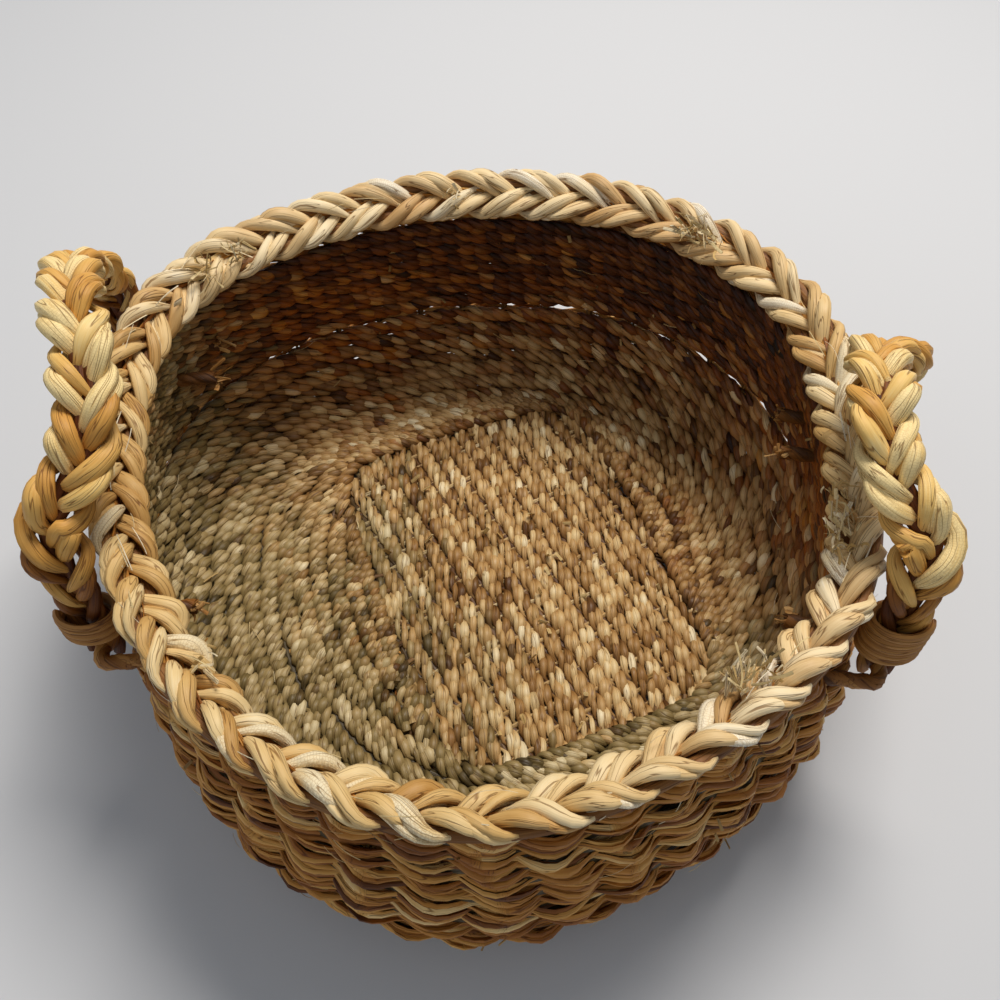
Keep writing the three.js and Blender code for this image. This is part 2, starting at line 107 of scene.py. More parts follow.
def grass_material(name, stops, regions=(), ladder=0.0, roughness=0.55, coarse=1.0):
    """Dried seagrass leaf: a matt strap with fibre streaks, a few sharp folds and uneven colour.

    stops colour the leaves from dark to light. Each region is a direction, where along it the
    change starts and ends, and the colours there. ladder draws the net of pale split leaves, and
    coarse is how strongly fibres and folds show.
    """
    fibre_width = 0.55 * mm
    fibre_length = 14 * mm
    fold_width = 2.0 * mm
    fold_length = 26 * mm
    blotch_size = 18 * mm
    drift_size = 50 * mm
    net_width = 1.6 * mm
    net_length = 0.9 * mm
    fibre_tones = 0.36 * coarse
    blotch_tones = 0.42
    material = bpy.data.materials.new(name)
    material.use_nodes = True
    tree = material.node_tree
    tree.nodes.clear()
    tone = add_node(tree, "ShaderNodeAttribute", {"attribute_name": "tone"})
    along = add_node(tree, "ShaderNodeAttribute", {"attribute_name": "along"})
    across = add_node(tree, "ShaderNodeAttribute", {"attribute_name": "across"})
    ripeness = add_node(tree, "ShaderNodeAttribute", {"attribute_name": "ripeness"})
    place = add_node(tree, "ShaderNodeTexCoord")

    # Fibres run along the leaf: 0.55 mm apart across it and about 14 mm long. A leaf's ripeness
    # also moves its place in the patterns, so that leaves side by side differ.
    lengthways = add_node(tree, "ShaderNodeCombineXYZ", inputs={"Z": along.outputs["Fac"]})
    spread = add_node(tree, "ShaderNodeVectorMath", {"operation": "MULTIPLY_ADD"}, {
        0: across.outputs["Vector"], 1: (1.0, 1.0, 0.0), 2: lengthways.outputs[0]})
    apart = add_node(tree, "ShaderNodeVectorMath", {"operation": "SCALE"}, {
        0: (31.0, 17.0, 5.0), "Scale": ripeness.outputs["Fac"]})
    fibre_place = add_node(tree, "ShaderNodeVectorMath", {"operation": "MULTIPLY_ADD"}, {
        0: spread.outputs[0], 1: (1 / fibre_width, 1 / fibre_width, 1 / fibre_length),
        2: apart.outputs[0]})
    fibre = add_node(tree, "ShaderNodeTexNoise", inputs={
        "Vector": fibre_place.outputs[0], "Scale": 1.0, "Detail": 3.0, "Roughness": 0.6})

    # Folds: a few dark lines along the leaf, painted shade in its creases, from noise 2 mm wide and 26 mm
    # long
    fold_place = add_node(tree, "ShaderNodeVectorMath", {"operation": "MULTIPLY_ADD"}, {
        0: spread.outputs[0], 1: (1 / fold_width, 1 / fold_width, 1 / fold_length),
        2: apart.outputs[0]})
    fold_noise = add_node(tree, "ShaderNodeTexNoise", inputs={
        "Vector": fold_place.outputs[0], "Scale": 1.0, "Detail": 1.0, "Roughness": 0.4})
    fold_off = add_node(tree, "ShaderNodeMath", {"operation": "SUBTRACT"}, {
        0: fold_noise.outputs["Fac"], 1: 0.5})
    fold_far = add_node(tree, "ShaderNodeMath", {"operation": "ABSOLUTE"}, {0: fold_off.outputs[0]})
    fold = add_node(tree, "ShaderNodeMapRange", {"interpolation_type": "SMOOTHSTEP"}, {
        "Value": fold_far.outputs[0], "From Min": 0.0, "From Max": 0.028,
        "To Min": coarse, "To Max": 0.0})

    # Blotches 18 mm across, in the basket's own space
    blotch = add_node(tree, "ShaderNodeTexNoise", inputs={
        "Vector": place.outputs["Object"], "Scale": 1 / blotch_size, "Detail": 2.0, "Roughness": 0.55})
    blotch_part = add_node(tree, "ShaderNodeMath", {"operation": "MULTIPLY_ADD"}, {
        0: blotch.outputs["Fac"], 1: blotch_tones, 2: -blotch_tones / 2})
    fibre_part = add_node(tree, "ShaderNodeMath", {"operation": "MULTIPLY_ADD"}, {
        0: fibre.outputs["Fac"], 1: fibre_tones, 2: -fibre_tones / 2})
    tone_sum = add_node(tree, "ShaderNodeMath", {"operation": "ADD"}, {
        0: tone.outputs["Fac"], 1: blotch_part.outputs[0]})
    shade = add_node(tree, "ShaderNodeMath", {"operation": "ADD", "use_clamp": True}, {
        0: tone_sum.outputs[0], 1: fibre_part.outputs[0]})
    ramp = add_node(tree, "ShaderNodeValToRGB", inputs={"Fac": shade.outputs[0]})
    set_ramp(ramp, stops)
    colour = ramp.outputs["Color"]

    # A region's edge wanders by 25 mm either way, and a leaf's ripeness, times 16 mm, shifts it too
    for axis, start, end, tint in regions:
        reach = add_node(tree, "ShaderNodeVectorMath", {"operation": "DOT_PRODUCT"}, {
            0: place.outputs["Object"], 1: axis})
        drift = add_node(tree, "ShaderNodeTexNoise", inputs={
            "Vector": place.outputs["Object"], "Scale": 1 / drift_size, "Detail": 2.0})
        wander = add_node(tree, "ShaderNodeMath", {"operation": "MULTIPLY_ADD"}, {
            0: drift.outputs["Fac"], 1: drift_size, 2: -drift_size / 2})
        wandered = add_node(tree, "ShaderNodeMath", {"operation": "ADD"}, {
            0: reach.outputs["Value"], 1: wander.outputs[0]})
        reached = add_node(tree, "ShaderNodeMath", {"operation": "MULTIPLY_ADD"}, {
            0: ripeness.outputs["Fac"], 1: 16 * mm, 2: wandered.outputs[0]})
        share = add_node(tree, "ShaderNodeMapRange", inputs={
            "Value": reached.outputs[0], "From Min": start, "From Max": end, "To Min": 0.0, "To Max": 1.0})
        tint_ramp = add_node(tree, "ShaderNodeValToRGB", inputs={"Fac": shade.outputs[0]})
        set_ramp(tint_ramp, tint)
        tinted = add_node(tree, "ShaderNodeMix", {"data_type": "RGBA"}, {
            0: share.outputs[0], 6: colour, 7: tint_ramp.outputs["Color"]})
        colour = tinted.outputs[2]

    # The folds are multiplied darker: painted shade in the creases, where the bump also dips.
    folded = add_node(tree, "ShaderNodeMix", {"data_type": "RGBA", "blend_type": "MULTIPLY"}, {
        0: fold.outputs["Result"], 6: colour, 7: (0.42, 0.33, 0.25, 1.0)})
    colour = folded.outputs[2]
    height = add_node(tree, "ShaderNodeMath", {"operation": "MULTIPLY_ADD"}, {
        0: fold.outputs["Result"], 1: -0.9, 2: fibre.outputs["Fac"]}).outputs[0]

    if ladder:
        # The net of split leaves: cells 0.9 mm along and 1.6 mm across, on the palest leaves only
        net_place = add_node(tree, "ShaderNodeVectorMath", {"operation": "MULTIPLY"}, {
            0: spread.outputs[0], 1: (1 / net_width, 1 / net_width, 1 / net_length)})
        net = add_node(tree, "ShaderNodeTexVoronoi", {"feature": "DISTANCE_TO_EDGE"}, {
            "Vector": net_place.outputs[0], "Scale": 1.0, "Randomness": 0.45})
        line = add_node(tree, "ShaderNodeMapRange", inputs={
            "Value": net.outputs["Distance"], "From Min": 0.02, "From Max": 0.12,
            "To Min": ladder, "To Max": 0.0})
        palest = add_node(tree, "ShaderNodeMapRange", inputs={
            "Value": tone.outputs["Fac"], "From Min": 0.86, "From Max": 0.9,
            "To Min": 0.0, "To Max": 1.0})
        amount = add_node(tree, "ShaderNodeMath", {"operation": "MULTIPLY"}, {
            0: line.outputs["Result"], 1: palest.outputs["Result"]})
        netted = add_node(tree, "ShaderNodeMix", {"data_type": "RGBA"}, {
            0: amount.outputs[0], 6: colour, 7: linear("#b58f58")})
        colour = netted.outputs[2]
        height = add_node(tree, "ShaderNodeMath", {"operation": "MULTIPLY_ADD"}, {
            0: amount.outputs[0], 1: -0.6, 2: height}).outputs[0]

    bump = add_node(tree, "ShaderNodeBump", inputs={
        "Strength": 0.55 * coarse, "Distance": 0.5 * mm, "Height": height})
    gloss = add_node(tree, "ShaderNodeMapRange", inputs={
        "Value": fibre.outputs["Fac"], "From Min": 0.3, "From Max": 0.7,
        "To Min": roughness - 0.08, "To Max": roughness + 0.12})
    shader = add_node(tree, "ShaderNodeBsdfPrincipled", inputs={
        "Base Color": colour, "Roughness": gloss.outputs["Result"], "Normal": bump.outputs[0],
        "Specular IOR Level": 0.35})
    add_node(tree, "ShaderNodeOutputMaterial", inputs={"Surface": shader.outputs[0]})
    return material


def leaf_tree():
    """Geometry Nodes that turn lines into strips of leaf: a flattened tube with lengthwise folds."""
    tree = bpy.data.node_groups.new("Leaf strips along lines", "GeometryNodeTree")
    sockets = tree.interface
    sockets.new_socket("Lines", in_out="INPUT", socket_type="NodeSocketGeometry")
    for name, kind in (("Width", "Float"), ("Thickness", "Float"), ("Fold depth", "Float"),
                       ("Sides", "Int"), ("Leaf", "Material")):
        sockets.new_socket(name, in_out="INPUT", socket_type="NodeSocket" + kind)
    sockets.new_socket("Strips", in_out="OUTPUT", socket_type="NodeSocketGeometry")
    given = add_node(tree, "NodeGroupInput").outputs
    lie = add_node(tree, "GeometryNodeInputNamedAttribute", {"data_type": "FLOAT_VECTOR"}, {"Name": "lie"})
    girth = add_node(tree, "GeometryNodeInputNamedAttribute", {"data_type": "FLOAT"}, {"Name": "girth"})
    line = add_node(tree, "GeometryNodeMeshToCurve", inputs={"Mesh": given["Lines"]})
    turned = add_node(tree, "GeometryNodeSetCurveNormal", {"mode": "FREE"}, {
        "Curve": line.outputs[0], "Normal": lie.outputs[0]})
    ring = add_node(tree, "GeometryNodeCurvePrimitiveCircle", inputs={
        "Resolution": given["Sides"], "Radius": 0.5})
    spot = add_node(tree, "GeometryNodeInputPosition")
    size = add_node(tree, "ShaderNodeCombineXYZ", inputs={"X": given["Thickness"], "Y": given["Width"]})
    flat = add_node(tree, "ShaderNodeVectorMath", {"operation": "MULTIPLY"}, {
        0: spot.outputs[0], 1: size.outputs[0]})
    number = add_node(tree, "GeometryNodeInputIndex")
    odd = add_node(tree, "ShaderNodeMath", {"operation": "MODULO"}, {0: number.outputs[0], 1: 2.0})
    uneven = add_node(tree, "FunctionNodeRandomValue", {"data_type": "FLOAT"}, {
        "ID": number.outputs[0], "Seed": 5})
    unequal = add_node(tree, "ShaderNodeMath", {"operation": "ADD"}, {
        0: odd.outputs[0], 1: uneven.outputs[1]})
    drawn_in = add_node(tree, "ShaderNodeMath", {"operation": "MULTIPLY"}, {
        0: unequal.outputs[0], 1: given["Fold depth"]})
    kept = add_node(tree, "ShaderNodeMath", {"operation": "SUBTRACT"}, {0: 1.0, 1: drawn_in.outputs[0]})
    folded = add_node(tree, "ShaderNodeVectorMath", {"operation": "SCALE"}, {
        0: flat.outputs[0], "Scale": kept.outputs[0]})
    section = add_node(tree, "GeometryNodeSetPosition", inputs={
        "Geometry": ring.outputs[0], "Position": folded.outputs[0]})
    marked = add_node(tree, "GeometryNodeStoreNamedAttribute", {
        "data_type": "FLOAT_VECTOR", "domain": "POINT"}, {
        "Geometry": section.outputs[0], "Name": "across", "Value": spot.outputs[0]})
    swept = add_node(tree, "GeometryNodeCurveToMesh", inputs={
        "Curve": turned.outputs[0], "Profile Curve": marked.outputs[0],
        "Scale": girth.outputs[0], "Fill Caps": True})
    whole = add_node(tree, "GeometryNodeRealizeInstances", inputs={"Geometry": swept.outputs[0]})
    dressed = add_node(tree, "GeometryNodeSetMaterial", inputs={
        "Geometry": whole.outputs[0], "Material": given["Leaf"]})
    add_node(tree, "NodeGroupOutput", inputs={"Strips": dressed.outputs[0]})
    return tree


leaf_strips = leaf_tree()


def leaf_piece(name, strips, material, width, thickness, fold_depth=0.14, sides=8):
    """One object made of many leaf strips. A strip has its points, the way its flat side faces and a
    tone, and where need be a girth, a ripeness other than its tone, and closed."""
    points, lies, edges = [], [], []
    measures = {"girth": [], "tone": [], "ripeness": [], "along": []}
    first = 0
    for strip in strips:
        line = strip["points"]
        count = len(line)
        steps = np.linalg.norm(np.diff(line, axis=0), axis=1)
        points.append(line)
        lies.append(np.broadcast_to(strip["lie"], (count, 3)))
        measures["girth"].append(np.broadcast_to(strip.get("girth", 1.0), count))
        measures["tone"].append(np.broadcast_to(strip["tone"], count))
        measures["ripeness"].append(np.broadcast_to(strip.get("ripeness", strip["tone"]), count))
        measures["along"].append(np.concatenate([[0.0], np.cumsum(steps)]))
        edges.append(np.stack([np.arange(count - 1), np.arange(1, count)], axis=1) + first)
        if strip.get("closed"):
            edges.append(np.array([[first + count - 1, first]]))
        first += count
    mesh = bpy.data.meshes.new(name)
    points = np.concatenate(points)
    edges = np.concatenate(edges)
    mesh.vertices.add(len(points))
    mesh.vertices.foreach_set("co", points.astype(np.float32).ravel())
    mesh.edges.add(len(edges))
    mesh.edges.foreach_set("vertices", edges.astype(np.int32).ravel())
    vectors = mesh.attributes.new("lie", "FLOAT_VECTOR", "POINT")
    vectors.data.foreach_set("vector", np.concatenate(lies).astype(np.float32).ravel())
    for label, values in measures.items():
        attribute = mesh.attributes.new(label, "FLOAT", "POINT")
        attribute.data.foreach_set("value", np.concatenate(values).astype(np.float32))
    piece = bpy.data.objects.new(name, mesh)
    bpy.context.scene.collection.objects.link(piece)
    modifier = piece.modifiers.new("Leaf strips", "NODES")
    modifier.node_group = leaf_strips
    values = {"Width": width, "Thickness": thickness, "Fold depth": fold_depth,
              "Sides": sides, "Leaf": material}
    for item in leaf_strips.interface.items_tree:
        if item.in_out == "INPUT" and item.name in values:
            modifier[item.identifier] = values[item.name]
    return plain_mesh(piece)


def plain_mesh(piece):
    """Turns what the piece's modifiers make into its own mesh, with sharp leaf edges."""
    shown = piece.evaluated_get(bpy.context.evaluated_depsgraph_get())
    mesh = bpy.data.meshes.new_from_object(shown)
    piece.modifiers.clear()
    piece.data = mesh
    mesh.set_sharp_from_angle(angle=math.radians(62))
    return piece


def unit(vectors):
    """Vectors at length one."""
    return vectors / np.maximum(np.linalg.norm(vectors, axis=-1, keepdims=True), 1e-9)


def line_ahead(line, closed=False):
    """Unit vectors along a line, from each point's neighbours."""
    if closed:
        return unit(np.roll(line, -1, axis=0) - np.roll(line, 1, axis=0))
    return unit(np.gradient(line, axis=0))


def swing(turn, straightness):
    """How far across a cord is at each turn: a sine, drawn nearly straight between its ends."""
    return np.arcsin(straightness * np.sin(turn)) / math.asin(straightness)


def float_values(place, loop, chance, spread):
    """A random number for each float, which is a stretch of leaf on top of the weave, blended from
    one to the next. place counts floats, and loop is how many a closed round has, or 0."""
    low = 0 if loop else math.floor(place.min()) - 1
    numbers = chance.normal(0.0, spread, loop or math.ceil(place.max()) + 2 - low)
    return np.interp(place, np.arange(low, low + len(numbers)), numbers, period=loop or None)


# A cord's two leaves: how far beside its middle, how many twists out of step with it, and how fat
grain_leaves = ((-1.15 * mm, -0.05, 1.0), (1.15 * mm, 0.06, 0.86))


def grain_row(line, face, place, loop, reach, rise, size, chance, tones):
    """Leaf strips of a row of three cords twisted together, two leaves to a cord. line is the row's
    middle, face looks out of the weave, place counts full twists along it, and loop is how many a
    closed row has. A cord comes out by reach and goes across by rise; size fattens the row."""
    beside = np.cross(line_ahead(line, loop > 0), face)
    size = np.broadcast_to(size, len(line))
    base = chance.normal(0, 0.04)
    strips = []
    for cord in range(3):
        own = place + cord / 3
        own = own + float_values(own, loop, chance, 0.03)
        lift = 1 + float_values(own, loop, chance, 0.12)
        sway = float_values(own, loop, chance, 0.5 * mm)
        tone = float_values(np.round(own), loop, chance, 0.1) + base + chance.choice(tones)
        for apart, lag, fat in grain_leaves:
            turn = 2 * math.pi * (own + lag)
            nearest = np.round(own + lag)
            out = np.cos(turn)
            over = swing(turn, 0.96)
            plump = np.clip((out + 0.4) / 1.4, 0, 1)
            lean = float_values(own, loop, chance, 0.4) + apart / (4 * mm)
            shift = (apart + float_values(nearest, loop, chance, 0.3 * mm)) * size
            fatter = 1 + float_values(nearest, loop, chance, 0.15)
            paler = float_values(nearest, loop, chance, 0.15)
            strips.append({
                "points": (line + face * (reach * size * out * lift)[:, None]
                           + beside * (rise * size * over + sway * plump + shift)[:, None]),
                "lie": unit(face + beside * lean[:, None]),
                "girth": size * fat * (0.4 + 0.6 * plump) * fatter,
                # A leaf is painted up to 0.34 darker where it turns under at a grain's ends: painted shade
                # between grains.
                "tone": np.clip(tone + paler - 0.34 * (1 - plump), 0, 1),
                "ripeness": float_values(nearest, loop, chance, 1.0),
                "closed": loop > 0,
            })
    return strips


def mat_stretches(offset, along, across):
    """Where a line across the mat enters and leaves its outline. A line that has fewer than the
    least number of points, a quarter of a millimetre apart, gives no stretch."""
    place = np.linspace(-130 * mm, 130 * mm, 1041)
    spot = np.outer(place, along) + offset * across
    long = spot @ np.array([math.cos(mat_turn), math.sin(mat_turn), 0])
    wide = spot @ np.array([-math.sin(mat_turn), math.cos(mat_turn), 0])
    within = (np.abs(2 * long / mat_length) ** mat_corner
              + np.abs(2 * wide / mat_width) ** mat_corner) < 1
    inside = place[within]
    return [(inside[0], inside[-1])] if len(inside) >= mat_least_points else []


along_mat = np.array([-math.cos(mat_row_turn), -math.sin(mat_row_turn), 0])
across_mat = np.array([along_mat[1], -along_mat[0], 0])
up = np.array([0, 0, 1.0])
chance = np.random.default_rng(11)
floor_tones = [0.44, 0.52, 0.6, 0.66]
floor_strips = []
for row in mat_lines:
    offset = row * mat_row_pitch
    for start, end in mat_stretches(offset, along_mat, across_mat):
        place = np.arange(start, end, mat_twist / points_per_twist)
        wobble = 0.5 * mm * np.sin(place / (23 * mm) + chance.uniform(0, 6))
        line = mat_centre + np.outer(place, along_mat) + np.outer(offset + wobble, across_mat)
        floor_strips += grain_row(
            line, up, (place + row * mat_row_slip) / mat_twist, 0,
            mat_cord_reach, mat_cord_rise, 1.0, chance, floor_tones)

# A strip in the darkest tone lies deep in each groove between two rows, where leaf turns under leaf:
# painted shade in the groove
for groove in mat_lines[:-1]:
    offset = (groove + 0.5) * mat_row_pitch
    for start, end in mat_stretches(offset, along_mat, across_mat):
        place = np.linspace(start + 2 * mm, end - 2 * mm, mat_line_points)
        floor_strips.append({
            "points": mat_centre + np.outer(place, along_mat) + offset * across_mat - up * mat_groove_depth,
            "lie": up, "tone": 0.0, "girth": 1.1})

# Dried seagrass leaf: tan and nearly matt, with a soft sheen on top of each grain, and olive at the
# left, where greener leaf was laid in.
grass_tan = [(0.0, "#5c3a18"), (0.3, "#9c7340"), (0.6, "#c8a26a"), (0.85, "#e2c690"), (1.0, "#f3e2ba")]
grass_olive = [(0.0, "#463a20"), (0.3, "#7b693f"), (0.6, "#a58f60"), (0.85, "#c4b083"), (1.0, "#dccca2")]
floor_grass = grass_material(
    "Tan seagrass leaf, floor", grass_tan, regions=[((-0.92, -0.39, 0.0), 0.005, 0.055, grass_olive)],
    roughness=0.4, coarse=0.85)
mat_weave = leaf_piece("floor_mat_weave", floor_strips, floor_grass, 4.3 * mm, 3.3 * mm, 0.08, 6)
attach(mat_weave, "root")
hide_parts("base_mat")

rib_strips = []
for rib in mat_lines:
    for beside in (-1.6 * mm, 1.6 * mm):
        offset = rib * mat_rib_pitch + beside
        for start, end in mat_stretches(offset, across_mat, along_mat):
            place = np.linspace(start + 3 * mm, end - 3 * mm, mat_line_points)
            line = mat_centre + np.outer(place, across_mat) + offset * along_mat - up * mat_rib_depth
            line[:, 2] += 0.5 * mm * np.sin(place / (9 * mm) + chance.uniform(0, 6))
            rib_strips.append({"points": line, "lie": up, "tone": chance.uniform(0.6, 0.9)})
mat_ribs = leaf_piece("floor_mat_ribs", rib_strips, floor_grass, 2.7 * mm, 2.4 * mm, sides=6)
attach(mat_ribs, "root")
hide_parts("base_mat")


# Walls
# Rounds of seagrass twined over the stakes, from the mat's edge up to the rim: outside, bundles of
# leaf that bulge over the stakes in stacked crescents; inside, grains of three twisted cords. At
# the belly line the rounds stand apart, and light comes through.

stake_count = 44
rim_radius = 141 * mm
rim_height = 120 * mm
belly_radius = 152 * mm
foot_radius = 122 * mm
shoulder_radius = 140 * mm
wall_top = 108.7 * mm
floor_middle = 4.5 * mm
plan_shares = np.array([0.965, 1.045, 1.05, 1.01, 1.01, 1.035, 0.935, 0.91, 0.965, 1.015, 0.98, 0.99])
wall_radius_shares = [0.935, 0.99, 1, 0.99, 0.955]
wall_height_shares = [0.145, 0.31, 0.42, 0.6, 0.8]
span_steps = 40
wall_samples = 241
bottom_samples = 40
belly_line = 45 * mm
half_belly_gap = 1.9 * mm
lower_rounds = 19
upper_rounds = 12
points_per_stake = 6
crescent_pitch = 5 * mm
crescent_reach = 3.9 * mm
crescent_rise = 2 * mm
lowest_leaf = 3.2 * mm
grain_pitch = 8 * mm
grain_reach = 1.1 * mm
grain_rise = 2.15 * mm
grain_depth = 2.4 * mm
upper_grain_rounds = 8
clear_of_mat = 0.035
least_part_points = 20

# A vector times level loses its height
level = np.array([1, 1, 0.0])


def plan_share(angle):
    """How far the basket's plan departs from a circle at each angle."""
    count = len(plan_shares)
    place = np.mod(angle, 2 * math.pi) / (2 * math.pi) * count
    index = np.floor(place).astype(int)
    t = place - index
    a, b, c, d = (plan_shares[(index + step) % count] for step in (-1, 0, 1, 2))
    slope_b, slope_c = (c - a) / 2, (d - b) / 2
    return ((2 * t ** 3 - 3 * t ** 2 + 1) * b + (t ** 3 - 2 * t ** 2 + t) * slope_b
            + (3 * t ** 2 - 2 * t ** 3) * c + (t ** 3 - t ** 2) * slope_c)


def ring_points(angle, radius, height):
    """Points of a ring that follows the basket's plan."""
    reach = radius * plan_share(angle)
    return np.stack([reach * np.cos(angle), reach * np.sin(angle), np.full_like(angle, height)], axis=-1)


def mat_points(angle, grow, height):
    """Points of the mat's outline, a superellipse of power mat_corner, moved out by grow."""
    share = ((np.abs(np.cos(angle - mat_turn)) / (mat_length / 2 + grow)) ** mat_corner
             + (np.abs(np.sin(angle - mat_turn)) / (mat_width / 2 + grow)) ** mat_corner)
    reach = share ** (-1 / mat_corner)
    return np.stack([mat_centre[0] + reach * np.cos(angle), mat_centre[1] + reach * np.sin(angle),
                     np.full_like(angle, height)], axis=-1)


def wall_grid(angle, samples):
    """The wall's middle line at each angle, as points evenly spaced from the mat to the rim."""
    knots = [mat_points(angle, 0.3 * mm, floor_middle), ring_points(angle, foot_radius, floor_middle)]
    for radius_share, height_share in zip(wall_radius_shares, wall_height_shares):
        knots.append(ring_points(angle, belly_radius * radius_share, wall_top * height_share))
    knots.append(ring_points(angle, shoulder_radius, wall_top))
    knots = [2 * knots[0] - knots[1]] + knots + [2 * knots[-1] - knots[-2]]
    parts = []
    for i in range(1, len(knots) - 2):
        p0, p1, p2, p3 = knots[i - 1:i + 3]
        d0, d1, d2 = (np.linalg.norm(q - p, axis=-1, keepdims=True) ** 0.5
                      for p, q in ((p0, p1), (p1, p2), (p2, p3)))
        m1 = ((p1 - p0) / d0 - (p2 - p0) / (d0 + d1) + (p2 - p1) / d1) * d1
        m2 = ((p2 - p1) / d1 - (p3 - p1) / (d1 + d2) + (p3 - p2) / d2) * d1
        for t in np.linspace(0, 1, span_steps, endpoint=False):
            parts.append((2 * t ** 3 - 3 * t ** 2 + 1) * p1 + (t ** 3 - 2 * t ** 2 + t) * m1
                         + (3 * t ** 2 - 2 * t ** 3) * p2 + (t ** 3 - t ** 2) * m2)
    parts.append(knots[-2])
    dense = np.stack(parts, axis=1)
    lengths = np.concatenate([np.zeros((len(angle), 1)), np.cumsum(
        np.linalg.norm(np.diff(dense, axis=1), axis=-1), axis=1)], axis=1)
    grid = np.empty((len(angle), samples, 3))
    for i in range(len(angle)):
        wanted = np.linspace(0, lengths[i, -1], samples)
        for axis in range(3):
            grid[i, :, axis] = np.interp(wanted, lengths[i], dense[i, :, axis])
    return grid


def even_angles(count):
    """Angles evenly spaced round a full turn."""
    return 2 * math.pi * np.arange(count) / count


round_angles = even_angles(stake_count * points_per_stake)
round_stakes = round_angles * stake_count / (2 * math.pi) - 0.5
wall = wall_grid(round_angles, wall_samples)
wall_length = np.sum(np.linalg.norm(np.diff(wall, axis=1), axis=-1), axis=1)
wall_up = unit(np.gradient(wall, axis=1))
wall_ahead = line_ahead(wall, closed=True)
wall_face = unit(np.cross(wall_ahead, wall_up))


def wall_place(share):
    """Points and outward faces of the wall at a share of its length, one share for each angle."""
    place = np.clip(share, 0, 1) * (wall_samples - 1)
    index = np.minimum(place.astype(int), wall_samples - 2)
    t = (place - index)[:, None]
    row = np.arange(len(place))
    points = wall[row, index] * (1 - t) + wall[row, index + 1] * t
    faces = unit(wall_face[row, index] * (1 - t) + wall_face[row, index + 1] * t)
    return points, faces


def share_at_height(height):
    """The share of each angle's line at which it reaches a height, past the flat of the bottom."""
    sides = np.arange(bottom_samples, wall_samples)
    return np.array([np.interp(height, line[sides, 2], sides) / (wall_samples - 1) for line in wall])


def round_drift():
    """How far a round wanders up and down, as a share of the wall's length."""
    drift = 0.0
    for waves in (2, 3, 5, 9):
        drift = drift + chance.normal(0, 0.0016) * np.sin(waves * round_angles + chance.uniform(0, 6))
    return drift


def twined_round(line, face, stake_place, reach, rise, size, chance, tones):
    """Leaf strips of a closed round of two cords that bulge outwards over every other stake each,
    of three leaves. stake_place counts stakes along it, whole numbers on a stake."""
    beside = np.cross(line_ahead(line, closed=True), face)
    strips = []
    turn = math.pi * (stake_place + float_values(stake_place, stake_count, chance, 0.07))
    for side in (1, -1):
        out = side * np.cos(turn)
        out = np.where(out < 0, out * 0.2, out)
        over = side * np.sin(turn)
        plump = np.abs(np.cos(turn))
        slack = float_values(stake_place, stake_count, chance, 0.12)
        sway = float_values(stake_place, stake_count, chance, 0.45 * mm)
        middle = (line + face * (reach * size * out * (1 + slack))[:, None]
                  + beside * (rise * size * over + sway * plump)[:, None])
        first = chance.uniform(-0.5, 0.5)
        for leaf in range(3):
            spin = (math.pi / 2 + first + float_values(stake_place, stake_count, chance, 0.6)
                    + 2 * math.pi * leaf / 3)
            set_off = face * (0.5 * np.cos(spin))[:, None] + beside * np.sin(spin)[:, None]
            sag = float_values(stake_place, stake_count, chance, 0.4 * mm) * plump
            lean = float_values(stake_place, stake_count, chance, 0.6)
            width = 1 + float_values(stake_place, stake_count, chance, 0.22)
            points = middle + set_off * (1.6 * mm * size * (0.7 + 0.3 * plump) + sag)[:, None]
            points[:, 2] = np.maximum(points[:, 2], lowest_leaf)
            strips.append({
                "points": points,
                "lie": unit(face * np.cos(lean)[:, None] + beside * np.sin(lean)[:, None]),
                "girth": size * (0.5 + 0.5 * plump) * width,
                "tone": np.clip(chance.choice(tones) + float_values(
                    np.round(stake_place / 2) * 2, stake_count, chance, 0.15), 0, 1),
                "closed": True,
            })
    return strips


def outer_rounds(start, end, count):
    """Leaf strips of rounds that pass over every stake, between two shares of the wall's length."""
    size = (end - start) * wall_length / count / crescent_pitch
    rounds = []
    for number in range(count):
        line, face = wall_place(start + (end - start) * (number + 0.5) / count + round_drift())
        slant = 0.1 * math.sin(number * 0.9) + 0.03 * number

        # Where the wall faces down, at the bottom, its crescents are flatter and smaller
        flat = np.clip(-face[:, 2], 0, 1)
        rounds.append(twined_round(
            line + face * 0.4 * mm, face, round_stakes + slant, crescent_reach * (1 - 0.75 * flat),
            crescent_rise, size * (1 - 0.2 * flat), chance, wall_tones))
    return rounds


grain_stakes = np.arange(stake_count * points_per_twist) / points_per_twist


def finer(values):
    """Values at every grain point, blended from those at every wall angle."""
    values = values.reshape(len(values), -1)
    return np.stack([np.interp(grain_stakes, round_stakes, column, period=stake_count)
                     for column in values.T], axis=1)


def round_parts(share):
    """The parts of an inside round that lie clear of the mat, as places in it. Short parts are left
    out. share is the round's share of the wall's length at each angle."""
    kept = finer(share)[:, 0] > clear_of_mat
    if kept.all():
        return [np.arange(len(kept))]
    order = (np.arange(len(kept)) + int(np.argmin(kept))) % len(kept)
    parts = np.split(order, np.flatnonzero(np.diff(kept[order].astype(int))) + 1)
    return [part for part in parts if kept[part[0]] and len(part) > least_part_points]


def inside_line(share, depth):
    """Points of an inside round, set in from the wall's middle, and the way its face looks."""
    line, face = wall_place(share)
    line, face = finer(line), -unit(finer(face))
    return line + face * depth, face


def inner_round(share, slant, size):
    """Grain strips of one inside round. Where its share of the wall runs out it ends at the mat."""
    line, face = inside_line(share, grain_depth)
    size = finer(np.broadcast_to(size, len(share)))[:, 0]
    strips = []
    for part in round_parts(share):
        closed = len(part) == len(line)
        place = np.arange(len(part)) / points_per_twist + grain_stakes[part[0]] + slant
        strips += grain_row(line[part], face[part], place, stake_count if closed else 0,
                            grain_reach, grain_rise, size[part], chance, wall_grain_tones)
    return strips


